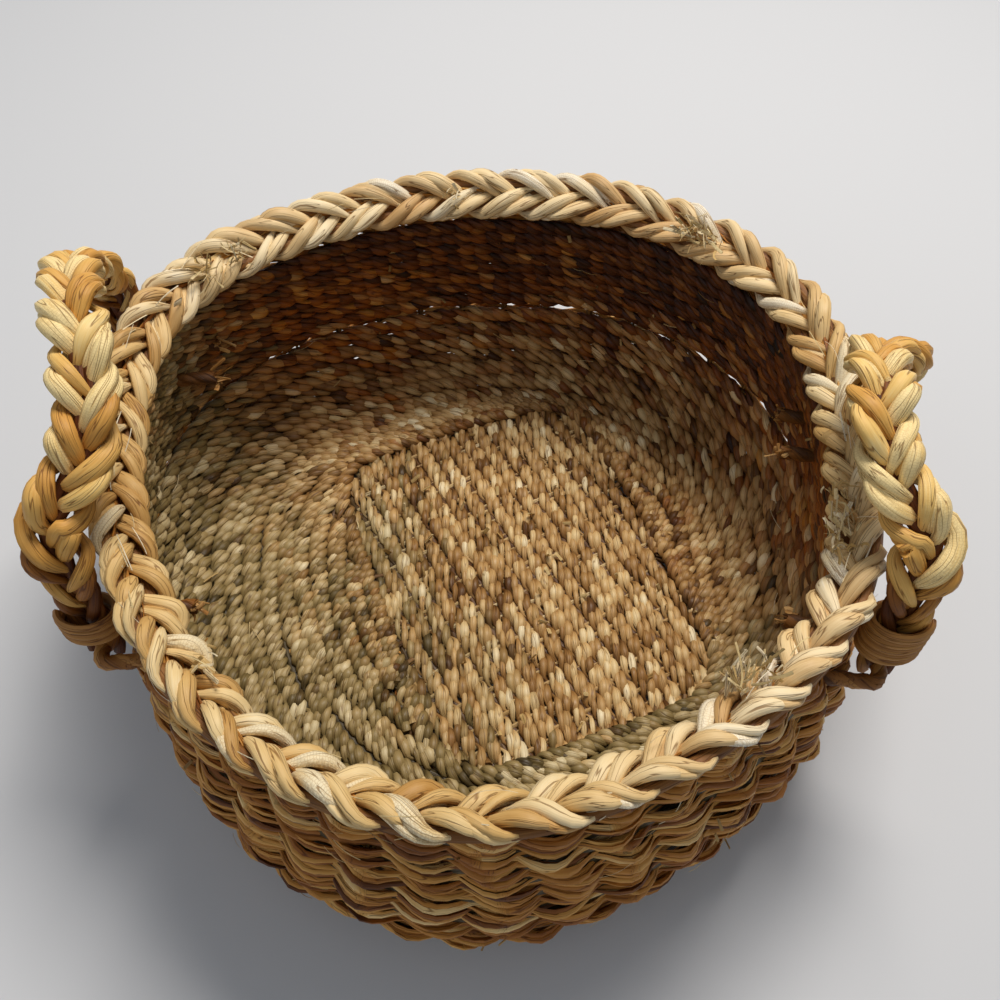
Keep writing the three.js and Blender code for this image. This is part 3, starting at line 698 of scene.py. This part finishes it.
def groove_round(share):
    """Strips in the darkest tone that lie deep between two inside rounds, where leaf turns under leaf:
    painted shade.
    """
    line, face = inside_line(share, 0.2 * mm)
    return [{"points": line[part[::3]], "lie": face[part[::3]], "tone": 0.0, "girth": 1.2,
             "closed": len(part) == len(line)} for part in round_parts(share)]


wall_grain_tones = [0.42, 0.5, 0.58, 0.66]
wall_tones = [0.25, 0.4, 0.5, 0.6, 0.7, 0.82]
mat_end = np.zeros(len(round_angles))
gap_low = share_at_height(belly_line - half_belly_gap)
gap_high = share_at_height(belly_line + half_belly_gap)
rim_end = mat_end + 1

# Dried seagrass leaf: matt and fibrous, from dark brown to ochre from one leaf to the next
outside_grass = grass_material(
    "Brown seagrass leaf, outside of the walls",
    [(0.0, "#5c310e"), (0.3, "#965a1d"), (0.6, "#be8237"), (0.85, "#d8a557"), (1.0, "#eac98b")])

# The same dried leaf inside: tan at the bottom, brown up the sides, partly the leaf's own colour and partly
# painted shade, umber high at the back as painted shade under the rim, and olive at the front and left,
# with a soft sheen on top of each grain.
grass_brown_and_painted_shade = [(0.0, "#391803"), (0.3, "#743a0b"), (0.6, "#a25915"), (0.85, "#c07b28"), (1.0, "#d99f50")]
# The umber is painted shade under the rim at the back; the brown is partly painted shade.
umber_painted_shade = [(0.0, "#1c0a01"), (0.3, "#381605"), (0.6, "#522609"), (0.85, "#6b3b13"), (1.0, "#885626")]
inside_grass = grass_material(
    "Seagrass leaf, inside of the walls", grass_tan, roughness=0.42, coarse=0.85,
    regions=[((0.0, 0.0, 1.0), 0.004, 0.05, grass_brown_and_painted_shade),
             ((0.25, 0.45, 0.85), 0.09, 0.15, umber_painted_shade),
             ((0.2, -0.98, -0.5), 0.02, 0.07, grass_olive),
             ((-0.78, -0.62, 0.0), 0.01, 0.07, grass_olive)])
lower_outer = outer_rounds(mat_end, gap_low, lower_rounds)
upper_outer = outer_rounds(gap_high, rim_end, upper_rounds)

# Three more rounds go on up under the rim's outer edge, so that no stake shows bare there. Each
# has how far it is raised and how far it stands out.
rounds_under_rim = ((2.6 * mm, 0.2 * mm), (6.4 * mm, 0.6 * mm), (10.2 * mm, 2.4 * mm))
under_rim_chance = np.random.default_rng(57)
top_line, top_face = wall_place(rim_end)
top_face = unit(top_face * level)
for number, (raised, outwards) in enumerate(rounds_under_rim):
    upper_outer.append(twined_round(
        top_line + up * raised + top_face * outwards, top_face, round_stakes + 0.3 * number,
        3.4 * mm, crescent_rise, 0.9, under_rim_chance, wall_tones))

lower_depth = gap_low * wall_length
lower_inner = []
for number in range(int(lower_depth.max() / grain_pitch) + 1):
    share = (lower_depth - (number + 0.5) * grain_pitch) / wall_length + round_drift()
    lower_inner.append(inner_round(share, 0.04 * number, 1.13))
    lower_inner[-1] += groove_round((lower_depth - (number + 1) * grain_pitch) / wall_length)
edge_line, edge_face = inside_line(3 * mm / wall_length, 2.2 * mm)
lower_inner.append(grain_row(edge_line, edge_face, grain_stakes, stake_count,
                             grain_reach, mat_cord_rise, 1.12, chance, wall_grain_tones))
upper_inner = []
for number in range(upper_grain_rounds):
    share = gap_high + (1 - gap_high) * (number + 0.5) / upper_grain_rounds + round_drift()
    size = (1 - gap_high) * wall_length / upper_grain_rounds / grain_pitch
    upper_inner.append(inner_round(share, -0.04 * number, size))
    if number:
        upper_inner[-1] += groove_round(gap_high + (1 - gap_high) * number / upper_grain_rounds)
for label, rounds, leaf, node in (
        ("lower_wall_bottom_outside", lower_outer[:7], outside_grass, "lower_wall"),
        ("lower_wall_side_outside", lower_outer[7:13], outside_grass, "lower_wall"),
        ("lower_wall_belly_outside", lower_outer[13:], outside_grass, "lower_wall"),
        ("lower_wall_belly_inside", lower_inner[:4], inside_grass, "lower_wall"),
        ("lower_wall_side_inside", lower_inner[4:8], inside_grass, "lower_wall"),
        ("lower_wall_bottom_inside", lower_inner[8:], inside_grass, "lower_wall"),
        ("upper_wall_side_outside", upper_outer[:6], outside_grass, "upper_wall"),
        ("upper_wall_top_outside", upper_outer[6:], outside_grass, "upper_wall"),
        ("upper_wall_side_inside", upper_inner[:4], inside_grass, "upper_wall"),
        ("upper_wall_top_inside", upper_inner[4:], inside_grass, "upper_wall")):
    strips = [strip for strips_of_round in rounds for strip in strips_of_round]
    if leaf is inside_grass:
        weave = leaf_piece(label, strips, leaf, 4.2 * mm, 3.1 * mm, 0.08, 6)
    else:
        weave = leaf_piece(label, strips, leaf, 3.1 * mm, 1.9 * mm, sides=6)
    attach(weave, "root")
    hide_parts(node)


# Stakes
# Uprights of two seagrass leaves twisted together. They start in the mat's edge, run up the
# middle of the wall between the two cords of every round, and end inside the rim.

stake_in_rim = 6 * mm
stake_leaf_offset = 0.9 * mm
stake_leaves = []
for stake in range(stake_count):
    column = int((stake + 0.5) * points_per_stake)
    line = wall[column, ::5]
    root = line[0] + (line[0] - line[1]) * 1.5
    tip = line[-1] + up * stake_in_rim
    line = np.concatenate([[root], line, [tip]])
    ahead = line_ahead(line)
    face = unit(np.cross(np.cross(ahead, [-line[0][1], line[0][0], 0.0]), ahead))
    side = np.cross(ahead, face)
    spin = np.linspace(0, 9, len(line)) + chance.uniform(0, 6)
    for leaf in (0, math.pi):
        set_off = face * np.cos(spin + leaf)[:, None] + side * np.sin(spin + leaf)[:, None]
        stake_leaves.append({
            "points": line + set_off * stake_leaf_offset, "lie": set_off,
            "tone": chance.uniform(0.3, 0.7)})

# Seagrass leaf twisted hard: dull green-brown, darker than the rounds that cover it
stake_grass = grass_material(
    "Green-brown seagrass leaf, stakes",
    [(0.0, "#3a2410"), (0.4, "#6b4a22"), (0.7, "#8a6535"), (1.0, "#a98650")])
stakes = leaf_piece("stakes", stake_leaves, stake_grass, 3.0 * mm, 1.7 * mm, sides=6)
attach(stakes, "root")
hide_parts(*[f"stake_{number:02d}" for number in range(1, stake_count + 1)])


# Rim
# A thick plait of three cords, each of two long pale leaves and a small one, laid round the mouth
# over the ends of the stakes. It leans in, so that its flat side and the valley down its middle
# face up and towards the middle of the basket.

rim_plaits = 14
rim_points = rim_plaits * 28
rim_lean = math.radians(50)
rim_reach = 9 * mm
rim_lift = 2.9 * mm
rim_core_depth = 2.8 * mm
float_middle = math.radians(50)


def plait(line, side, face, turn, reach, lift, leaves, chance, tones, floats, taper, painted_light_shift=0.0):
    """Strips of a three-cord plait. turn is the plait's own angle along the line, reach and lift how far
    leaves swing across and out, floats how often a closed plait's leaf comes up, and the last argument how
    much paler the leaf is painted at each point, as painted light and shade. A leaf is its lag behind its
    cord, size and depth. It keeps one tone over a whole float, and changes it where it is hidden."""
    strips = []
    ahead = line_ahead(line, floats > 0)
    for number in range(3):
        cord_angle = turn + 2 * math.pi * number / 3
        for lag, leaf_size, depth in leaves:
            place = (cord_angle + lag - float_middle) / math.pi
            angle = cord_angle + lag + float_values(place, floats, chance, 0.09)
            place = (angle - float_middle) / math.pi
            nearest = np.round(place)
            spread = reach * swing(angle, 0.93) * (1 + float_values(place, floats, chance, 0.05)) * taper
            rise = (lift * np.sin(2 * cord_angle + lag) - depth
                    + float_values(place, floats, chance, 0.35 * mm)) * taper
            points = line + side * spread[:, None] + face * rise[:, None]
            plump = np.clip(np.cos(1.5 * math.pi * (place - nearest)), 0, 1) ** 0.7
            beside = unit(side - ahead * 0.5)
            lean = 0.6 * lag + float_values(place, floats, chance, 0.25)
            girth = leaf_size * (0.44 + 0.56 * plump) * (1 + float_values(nearest, floats, chance, 0.1))
            own = chance.choice(tones, floats if floats else 60)
            shown = np.round(place - 0.12)
            _, which = np.unique(shown, return_inverse=True)
            paler = (np.bincount(which, np.broadcast_to(painted_light_shift, len(line))) / np.bincount(which))[which]
            strips.append({
                "points": points,
                "lie": unit(face + beside * lean[:, None]),
                "girth": girth * taper,
                "tone": np.clip(own[shown.astype(int) % len(own)] + paler, 0, 1),
                "closed": floats > 0,
            })
    return strips


rim_angles = even_angles(rim_points)
rim_line = ring_points(rim_angles, rim_radius, rim_height)
rim_out = unit(rim_line * level)
rim_side = rim_out * math.sin(rim_lean) + up * math.cos(rim_lean)
rim_face = up * math.sin(rim_lean) - rim_out * math.cos(rim_lean)
rim_leaves = [(0.45, 1.0, 0.0), (-0.45, 0.97, 0.0), (0.0, 0.86, 1.8 * mm)]
rim_tones = [0.38, 0.46, 0.54, 0.6, 0.68, 0.76, 0.84, 0.95]
rim_turn = rim_plaits * rim_angles + 1.5 * np.cos(rim_angles)
rim_strips = plait(rim_line, rim_side, rim_face, rim_turn, rim_reach, rim_lift, rim_leaves, chance,
                   rim_tones, 2 * rim_plaits, 1.0)

# Strips in the darkest tone fill the middle of the plait, where leaf turns under leaf: painted shade
for beside in (-5 * mm, 0.0, 5 * mm):
    rim_strips.append({
        "points": rim_line + rim_side * beside - rim_face * rim_core_depth, "lie": rim_face,
        "tone": 0.0, "closed": True})

# Dried seagrass leaf, broad, smooth and pale: a little sheen, and a fine net of splits on the very palest
# leaves. It is paler still at the back, as painted light, and at the front right.
grass_pale_and_painted_light = [(0.0, "#8a5c2c"), (0.3, "#cda268"), (0.6, "#ebd19f"), (0.85, "#f4e3bd"), (1.0, "#f8efda")]
rim_grass = grass_material(
    "Pale seagrass leaf, rim",
    [(0.0, "#7a4e1f"), (0.3, "#b98a48"), (0.6, "#d9b473"), (0.85, "#e8cd96"), (1.0, "#eddfbb")],
    # The paler colours at the back are painted light.
    regions=[((0.0, 1.0, 0.0), 0.03, 0.12, grass_pale_and_painted_light), ((0.8, -0.6, 0.0), 0.11, 0.15, grass_pale_and_painted_light)],
    ladder=0.4, roughness=0.48)
rim = leaf_piece("rim_plait", rim_strips, rim_grass, 6.2 * mm, 5.0 * mm, fold_depth=0.08, sides=12)
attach(rim, "root")
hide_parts("rim_braid")


# Handle anchors
# Four ropes of twisted leaf. Each comes out through the upper wall under the rim, carries one
# foot of a handle, goes back in beside it, and is cut off short inside.

anchor_diameter = 7 * mm
foot_thickness = 11.5 * mm
foot_width = 16 * mm
anchor_gap = 1 * mm
anchor_side = foot_thickness / 2 + anchor_gap + anchor_diameter / 2
grip_width = 22.6 * mm
rim_width = 18 * mm
anchor_tail = 12 * mm
anchor_inwards = grip_width / 2 + rim_width + anchor_tail
anchor_cut_back = 9 * mm
anchor_twist = 22 * mm
anchor_leaves = 3
rope_step = 1.6 * mm

# Where each handle's feet stand and which way it swings out, from the frame's joints and bindings
hinges = {}
for joint in frame["joints"]:
    name = joint["name"].split("_")[0]
    sign = -1 if name == "left" else 1
    along_hinge = unit(np.array(joint["axis"], float) * sign)
    out = np.cross(along_hinge, up) * sign
    centre = np.array(joint["pos_m"], float)
    if np.dot(out, centre) < 0:
        out = -out
    feet = {}
    for place in ("front", "back"):
        low, high = (np.array(corner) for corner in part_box(f"handle_{name}_{place}_binding"))
        foot = centre + along_hinge * np.dot((low + high) / 2 - centre, along_hinge)
        feet[place] = np.array([foot[0], foot[1], centre[2]])
    apart = feet["back"] - feet["front"]
    hinges[name] = {"centre": (feet["front"] + feet["back"]) / 2, "out": out, "feet": feet,
                    "along": unit(apart), "half": np.linalg.norm(apart) / 2}


def resample(line, step):
    """Even points along a line."""
    lengths = np.concatenate([[0], np.cumsum(np.linalg.norm(np.diff(line, axis=0), axis=1))])
    wanted = np.linspace(0, lengths[-1], max(int(lengths[-1] / step), 4))
    return np.stack([np.interp(wanted, lengths, line[:, axis]) for axis in range(3)], axis=1)


def carried_frame(line, start):
    """Two unit vectors across a line at each point, turned as little as possible along it."""
    ahead = line_ahead(line)
    over = np.empty_like(line)
    last = np.array(start, float)
    for i, direction in enumerate(ahead):
        last = last - direction * np.dot(last, direction)
        last = last / np.linalg.norm(last)
        over[i] = last
    return over, np.cross(ahead, over)


def rope(line, radius, turn_length, leaves, chance, tones):
    """Strips of a rope of a few twisted leaves."""
    line = resample(line, rope_step)
    over, beside = carried_frame(line, [0.1, 0.2, 1.0])
    length = np.arange(len(line)) * rope_step
    strips = []
    for leaf in range(leaves):
        spin = 2 * math.pi * (length / turn_length + leaf / leaves)
        set_off = over * np.cos(spin)[:, None] + beside * np.sin(spin)[:, None]
        strips.append({"points": line + set_off * radius * 0.5, "lie": set_off,
                       "tone": chance.choice(tones), "girth": chance.uniform(0.9, 1.1)})
    return strips


def frayed_end(start, direction, count, length, spread, wildness, chance):
    """Strips of split leaf that fan out of a cut end, as lines of five points."""
    strips = []
    for _ in range(count):
        root = start + chance.normal(0, spread, 3)
        heading = unit(direction + chance.normal(0, wildness, 3))
        curl = chance.normal(0, 0.35, 3)
        reach = length * chance.uniform(0.4, 1.1)
        steps = np.linspace(0, 1, 5)[:, None]
        line = root + reach * (steps * heading + steps ** 2 * curl)
        strips.append({
            "points": line, "lie": unit(chance.normal(0, 1, 3)),
            "tone": chance.uniform(0.4, 0.9), "girth": chance.choice([0.12, 0.2, 0.3, 0.45])})
    return strips


# Dried seagrass leaf twisted tight: brown and dull, painted darker still where it goes in under the rim, as
# shade
anchor_grass = grass_material(
    "Brown seagrass leaf, ropes",
    [(0.0, "#5a3614"), (0.3, "#8f5c26"), (0.6, "#b98544"), (0.85, "#d2a566"), (1.0, "#e5c792")])
for name, hinge in hinges.items():
    for place, foot in hinge["feet"].items():
        corner = anchor_diameter / 2
        line = []
        for side in (-1, 1):
            part = [foot + hinge["along"] * side * anchor_side - hinge["out"] * anchor_inwards]
            for step in np.linspace(0, math.pi / 2, 7):
                part.append(foot + hinge["along"] * side * (anchor_side - corner * (1 - math.cos(step)))
                            - hinge["out"] * corner * (1 - math.sin(step)))
            line += part if side < 0 else part[::-1]
        for end in (0, -1):
            line[end] = line[end] + hinge["out"] * anchor_cut_back
        strips = rope(np.array(line), anchor_diameter / 2, anchor_twist, anchor_leaves, chance,
                      [0.3, 0.45, 0.6])
        for strip in strips:
            # Each leaf's tone is lowered where the rope goes in under the rim: painted shade.
            depth = np.clip((strip["points"] - foot) @ -hinge["out"] / (14 * mm) - 0.6, 0, 1)
            strip["tone"] = strip["tone"] - 0.35 * depth
        for end in (line[0], line[-1]):
            strips += frayed_end(end + hinge["out"] * 2 * mm, -hinge["out"], 9, 5 * mm, 1.6 * mm, 0.4,
                                 chance)
        anchor = leaf_piece(f"{name}_{place}_anchor_rope", strips, anchor_grass,
                            4.8 * mm, 3.0 * mm, sides=8)
        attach(anchor, "root")
        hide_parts(f"handle_{name}_{place}_anchor")


# Handles
# Two thick plaited loops of golden leaf, one taller than the other, as handmade ones are. The
# plait's flat side faces out of the arch; both feet are drawn in where the bindings grip them.

# Rises and leans are those of a crest, from the hinge line. A handle starts to lean where it is
# clear over the rim, and it is drawn in at the feet, up to about where the bindings end.
handle_leg_rise = 30 * mm
handle_points = 90
leg_points = 20
arch_power = 1.3
lean_start = 60 * mm
grip_rise = 26 * mm
swell_rise = 24 * mm
foot_size = 0.66
handle_reach = 8.8 * mm
handle_lift = 3.7 * mm
handle_period = 61 * mm
handle_step = 1.8 * mm
handle_core_depth = 0.6 * mm
handle_tones = [0.28, 0.4, 0.5, 0.6, 0.72, 0.88]
handle_sizes = {
    "left": {"rise": 97 * mm, "lean": 11 * mm, "turn": 0.24, "turns": 3},
    "right": {"rise": 84 * mm, "lean": 19 * mm, "turn": 0.0, "turns": 5},
}

# Dried seagrass leaf, golden and smooth: a little more sheen than the outside of the walls, painted browner
# at the feet as shade and paler towards the crest as light, with a fine net of splits on the palest leaves.
handle_grass = grass_material(
    "Golden seagrass leaf, handles",
    [(0.0, "#5f300c"), (0.3, "#9c6222"), (0.6, "#d49e4c"), (0.85, "#ebc475"), (1.0, "#f7dfa2")],
    ladder=0.3, roughness=0.5)
for name, hinge in hinges.items():
    sizes = handle_sizes[name]
    crest = sizes["rise"]
    sweep = np.linspace(math.pi, 0, handle_points)
    across = np.sign(np.cos(sweep)) * np.abs(np.cos(sweep)) ** arch_power * hinge["half"]
    rises = handle_leg_rise + (crest - handle_leg_rise) * np.sin(sweep)
    leg = np.linspace(-5 * mm, handle_leg_rise, leg_points, endpoint=False)
    at_foot = np.full(leg_points, hinge["half"])
    across = np.concatenate([-at_foot, across, at_foot])
    rises = np.concatenate([leg, rises, leg[::-1]])
    climbed = np.clip((rises - lean_start) / (crest - lean_start), 0, 1)
    lean = (sizes["turn"] * across - sizes["lean"]) * np.sin(math.pi / 2 * climbed)
    line = (hinge["centre"] + np.outer(across, hinge["along"]) + np.outer(lean, hinge["out"])
            + np.outer(rises, up))
    line = resample(line, handle_step)
    ahead = line_ahead(line)
    side = unit(hinge["out"] - ahead * (ahead @ hinge["out"])[:, None])
    face = np.cross(side, ahead)
    if face[len(face) // 2][2] < 0:
        face = -face
    heights = line[:, 2] - hinge["centre"][2]
    swell = np.clip((heights - grip_rise) / swell_rise, 0, 1)
    swell = swell * swell * (3 - 2 * swell)
    taper = foot_size + (1 - foot_size) * swell
    turn = np.arange(len(line)) * handle_step / handle_period * 2 * math.pi + chance.uniform(0, 6)
    # Leaf is painted paler towards the crest and browner at the feet: painted light at the top and painted
    # shade low down.
    climbed = np.clip((heights - 20 * mm) / (crest - 30 * mm), 0, 1)
    strips = plait(line, side, face, turn, handle_reach, handle_lift, rim_leaves, chance,
                   handle_tones, 0, taper, 0.85 * climbed - 0.5)
    # Strips in the darkest tone under the plait's middle, where leaf turns under leaf: painted shade.
    for beside in (-2 * mm, 2 * mm):
        strips.append({
            "points": line + side * (beside * taper)[:, None] - face * handle_core_depth, "lie": face,
            "girth": 0.7 * taper, "tone": 0.0})
    loop = leaf_piece(f"{name}_handle_plait", strips, handle_grass,
                      7.0 * mm, 5.6 * mm, fold_depth=0.08, sides=12)
    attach(loop, f"{name}_handle")
    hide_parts(f"handle_{name}")


# Foot bindings
# A leaf cord wound tightly round each handle foot, over the plait: three turns at the left and
# five at the right. It is the same brown leaf as the anchor ropes.

binding_cord = 3.2 * mm
binding_pitch = 3.8 * mm
binding_start = 9 * mm
points_per_wrap = 28
for name, hinge in hinges.items():
    turns = handle_sizes[name]["turns"]
    for place, foot in hinge["feet"].items():
        spin = 2 * math.pi * np.arange(points_per_wrap * turns + 1) / points_per_wrap
        rises = binding_start + binding_pitch * spin / (2 * math.pi)
        reach_out = (foot_width + binding_cord) / 2
        reach_along = (foot_thickness + binding_cord) / 2
        outward = np.outer(np.cos(spin), hinge["out"]) + np.outer(np.sin(spin), hinge["along"])
        line = (foot + np.outer(reach_out * np.cos(spin), hinge["out"])
                + np.outer(reach_along * np.sin(spin), hinge["along"]) + np.outer(rises, up))
        strips = [
            {"points": line + up * 0.5 * mm, "lie": outward, "tone": 0.45, "girth": 1.0},
            {"points": line - up * 1.0 * mm + outward * 0.5 * mm, "lie": unit(outward + 0.4 * up),
             "tone": 0.6, "girth": 0.8},
        ]
        binding = leaf_piece(f"{name}_{place}_foot_binding", strips, anchor_grass,
                             3.6 * mm, 3.0 * mm, sides=8)
        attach(binding, f"{name}_handle")
        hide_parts(f"handle_{name}_{place}_binding")


# Loose ends
# Leaf is short, so new leaf is always being laid in: cut ends stand up from the weave and the
# floor, the rim is frayed where leaves start and stop, and fine fibres come away everywhere.

# A tuft has its place round the rim in degrees, how many split leaves it has and how long they are.
# Cut leaves have their place in degrees and their lengths in millimetres.
rim_tufts = ((143, 34, 9 * mm), (137, 26, 7 * mm), (50, 40, 9 * mm), (46, 26, 8 * mm),
             (308, 30, 9 * mm), (311, 16, 7 * mm), (340, 34, 8 * mm), (346, 22, 7 * mm),
             (336, 20, 7 * mm), (228, 10, 6 * mm), (95, 12, 6 * mm))
rim_cut_leaves = ((307, (13, 10, 8)), (305, (9, 7)), (150, (8,)), (52, (9,)))
rim_fibre_count = 90
wall_end_count = 90
wall_fibre_count = 140
mat_end_count = 46
lowest_loose_end = 1.5 * mm


def rim_spot(angle):
    """A place on the rim's middle line, the way outwards there, and the way its flat side faces."""
    centre = ring_points(np.array([angle]), rim_radius, rim_height)[0]
    outwards = unit(centre * level)
    return centre, outwards, up * math.sin(rim_lean) - outwards * math.cos(rim_lean)


def fibre(start, normal, heading, reach, droop):
    """Points of a fine fibre that leaves the weave along heading and bends back towards it."""
    steps = np.linspace(0, 1, 7)[:, None]
    return start + reach * (steps * unit(heading) - steps ** 2 * droop * normal)


# Cut and split seagrass leaf: thin, pale and matt
loose_grass = grass_material(
    "Pale seagrass leaf, cut ends",
    [(0.0, "#8d6a38"), (0.4, "#c9a768"), (0.7, "#e3cd97"), (1.0, "#f3e9cf")])
rim_loose = []
for degrees, count, length in rim_tufts:
    centre, outwards, normal = rim_spot(math.radians(degrees))
    sideways = np.cross(up, outwards)
    start = centre + normal * 5 * mm - outwards * 2 * mm
    rim_loose += frayed_end(start, normal * 0.5 + sideways * 0.6, count, length, 2.6 * mm, 0.5, chance)
for degrees, lengths in rim_cut_leaves:
    for length in lengths:
        centre, outwards, normal = rim_spot(math.radians(degrees + chance.uniform(-1, 1)))
        heading = unit(normal + np.cross(up, outwards) * 0.8 + chance.normal(0, 0.15, 3))
        start = centre - outwards * 5 * mm + normal * 2 * mm
        steps = np.linspace(0, length * mm, 4)[:, None]
        rim_loose.append({
            "points": start + steps * heading, "lie": unit(outwards + chance.normal(0, 0.3, 3)),
            "tone": 0.9, "girth": np.array([1.0, 1.05, 1.0, 0.9]) * chance.uniform(0.8, 1.1)})
rim_fibres = []
for _ in range(rim_fibre_count):
    centre, outwards, _ = rim_spot(chance.uniform(0, 2 * math.pi))
    lean = chance.uniform(-0.6, 2.6)
    normal = outwards * math.cos(lean) + up * math.sin(lean)
    sideways = np.cross(up, outwards) * chance.choice([-1, 1])
    reach = chance.uniform(6, 18) * mm
    line = fibre(centre + normal * 6.5 * mm, normal, 0.45 * normal + sideways, reach,
                 0.5 * chance.uniform(0, 1))
    rim_fibres.append({"points": line, "lie": normal, "tone": chance.uniform(0.6, 1.0),
                       "girth": chance.choice([0.07, 0.1, 0.16])})
rim_ends = leaf_piece("rim_cut_ends", rim_loose + rim_fibres, loose_grass, 4.0 * mm, 1.2 * mm, sides=5)
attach(rim_ends, "root")

wall_loose = []
for _ in range(wall_end_count):
    column = int(chance.integers(0, len(round_angles)))
    row = int(chance.uniform(0.04, 0.96) * wall_samples)
    inwards = chance.choice([-1, 1])
    normal = wall_face[column, row] * inwards
    heading = unit(normal * 0.7 + wall_up[column, row] * chance.normal(0, 0.5)
                   + wall_ahead[column, row] * chance.normal(0, 0.6))
    steps = np.linspace(0, 1, 4)[:, None]
    reach = chance.uniform(2, 4.5) * mm
    start = wall[column, row] + normal * 3.4 * mm
    if start[2] < 4 * mm:
        continue
    wall_loose.append({"points": start + steps * reach * heading, "lie": unit(normal + 0.3),
                       "tone": chance.uniform(0.0, 0.5), "girth": chance.uniform(0.35, 0.7)})
for _ in range(wall_fibre_count):
    column = int(chance.integers(0, len(round_angles)))
    row = int(chance.uniform(0.3, 0.96) * wall_samples)
    normal = wall_face[column, row] * chance.choice([-1, 1, 1])
    sideways = (wall_ahead[column, row] * chance.choice([-1, 1])
                + wall_up[column, row] * chance.normal(0, 0.4))
    reach = chance.uniform(5, 14) * mm
    line = fibre(wall[column, row] + normal * 4.4 * mm, normal, 0.5 * normal + sideways, reach,
                 chance.uniform(0.1, 0.5))
    wall_loose.append({"points": line, "lie": normal, "tone": chance.uniform(0.4, 0.9),
                       "girth": chance.choice([0.08, 0.12, 0.2])})
for strip in wall_loose:
    strip["points"][:, 2] = np.maximum(strip["points"][:, 2], lowest_loose_end)
wall_ends = leaf_piece("wall_cut_ends", wall_loose, loose_grass, 3.2 * mm, 1.3 * mm, sides=5)
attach(wall_ends, "root")

mat_loose = []
for _ in range(mat_end_count):
    spot = (mat_centre + along_mat * chance.uniform(-0.46, 0.46) * mat_length
            + across_mat * chance.uniform(-0.45, 0.45) * mat_width + up * 2.2 * mm)
    heading = unit(up * 0.7 + along_mat * chance.normal(0, 0.7) + across_mat * chance.normal(0, 0.7))
    steps = np.linspace(0, 1, 4)[:, None]
    mat_loose.append({"points": spot + steps * chance.uniform(3, 5.5) * mm * heading,
                      "lie": unit(chance.normal(0, 1, 3)),
                      "tone": chance.uniform(0.3, 0.75), "girth": chance.uniform(0.45, 0.8)})
mat_ends = leaf_piece("floor_cut_ends", mat_loose, loose_grass, 3.2 * mm, 1.3 * mm, sides=5)
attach(mat_ends, "root")


# Studio
# A plain pale floor, wide enough to reach the horizon, a broad soft lamp from behind and above, a
# weak one from the front left, and the photograph's camera, which looks down at 53 degrees.

floor_reach = 60
floor_corners = [(x * floor_reach, y * floor_reach, 0) for x, y in ((-1, -1), (1, -1), (1, 1), (-1, 1))]
floor_mesh = bpy.data.meshes.new("Studio floor")
floor_mesh.from_pydata(floor_corners, [], [(0, 1, 2, 3)])
studio_floor = bpy.data.objects.new("Studio floor", floor_mesh)
bpy.context.scene.collection.objects.link(studio_floor)

# Matt emulsion paint: a pale grey with almost no shine, so that only the basket's shadow shows
floor_paint = bpy.data.materials.new("Matt grey-white studio floor")
floor_paint.use_nodes = True
paint = floor_paint.node_tree.nodes["Principled BSDF"]
paint.inputs["Base Color"].default_value = linear("#cfd2d6")
paint.inputs["Roughness"].default_value = 0.9
floor_mesh.materials.append(floor_paint)

# Each lamp's name, place, aim, width, power and colour
lamps = (
    ("Window lamp", (0.25, 0.55, 1.4), (0.0, 0.0, 0.08), 0.6, 21.0, "#fff7ee"),
    ("Fill lamp", (-0.9, -0.9, 1.1), (0.0, 0.0, 0.05), 1.2, 2.0, "#eef4ff"),
)
for label, place, aim, size, power, tint in lamps:
    light = bpy.data.lights.new(label, "AREA")
    light.size = size
    light.energy = power
    light.color = linear(tint)[:3]
    lamp = bpy.data.objects.new(label, light)
    bpy.context.scene.collection.objects.link(lamp)
    x, y, z = unit(np.array(place) - np.array(aim))
    lamp.location = place
    lamp.rotation_euler = (math.acos(z), 0, math.atan2(y, x) + math.pi / 2)

# The sky lights the basket weakly all round. The camera alone sees it brighter, as a pale backdrop.
world = bpy.data.worlds.new("Soft sky")
bpy.context.scene.world = world
world.use_nodes = True
sky = world.node_tree.nodes["Background"]
sky.inputs["Color"].default_value = linear("#e9eef4")
seen = add_node(world.node_tree, "ShaderNodeLightPath")
brightness = add_node(world.node_tree, "ShaderNodeMapRange", inputs={
    "Value": seen.outputs["Is Camera Ray"], "From Min": 0.0, "From Max": 1.0,
    "To Min": 0.3, "To Max": 0.75})
world.node_tree.links.new(brightness.outputs["Result"], sky.inputs["Strength"])

camera_data = bpy.data.cameras.new("Camera")
camera_data.sensor_width = 36
camera_data.lens = 36
camera = bpy.data.objects.new("Camera", camera_data)
camera.location = (0.0088, -0.2416, 0.3987)
camera.rotation_euler = (math.radians(37), 0, 0)
bpy.context.scene.collection.objects.link(camera)
bpy.context.scene.camera = camera
bpy.context.scene.view_settings.view_transform = "Standard"
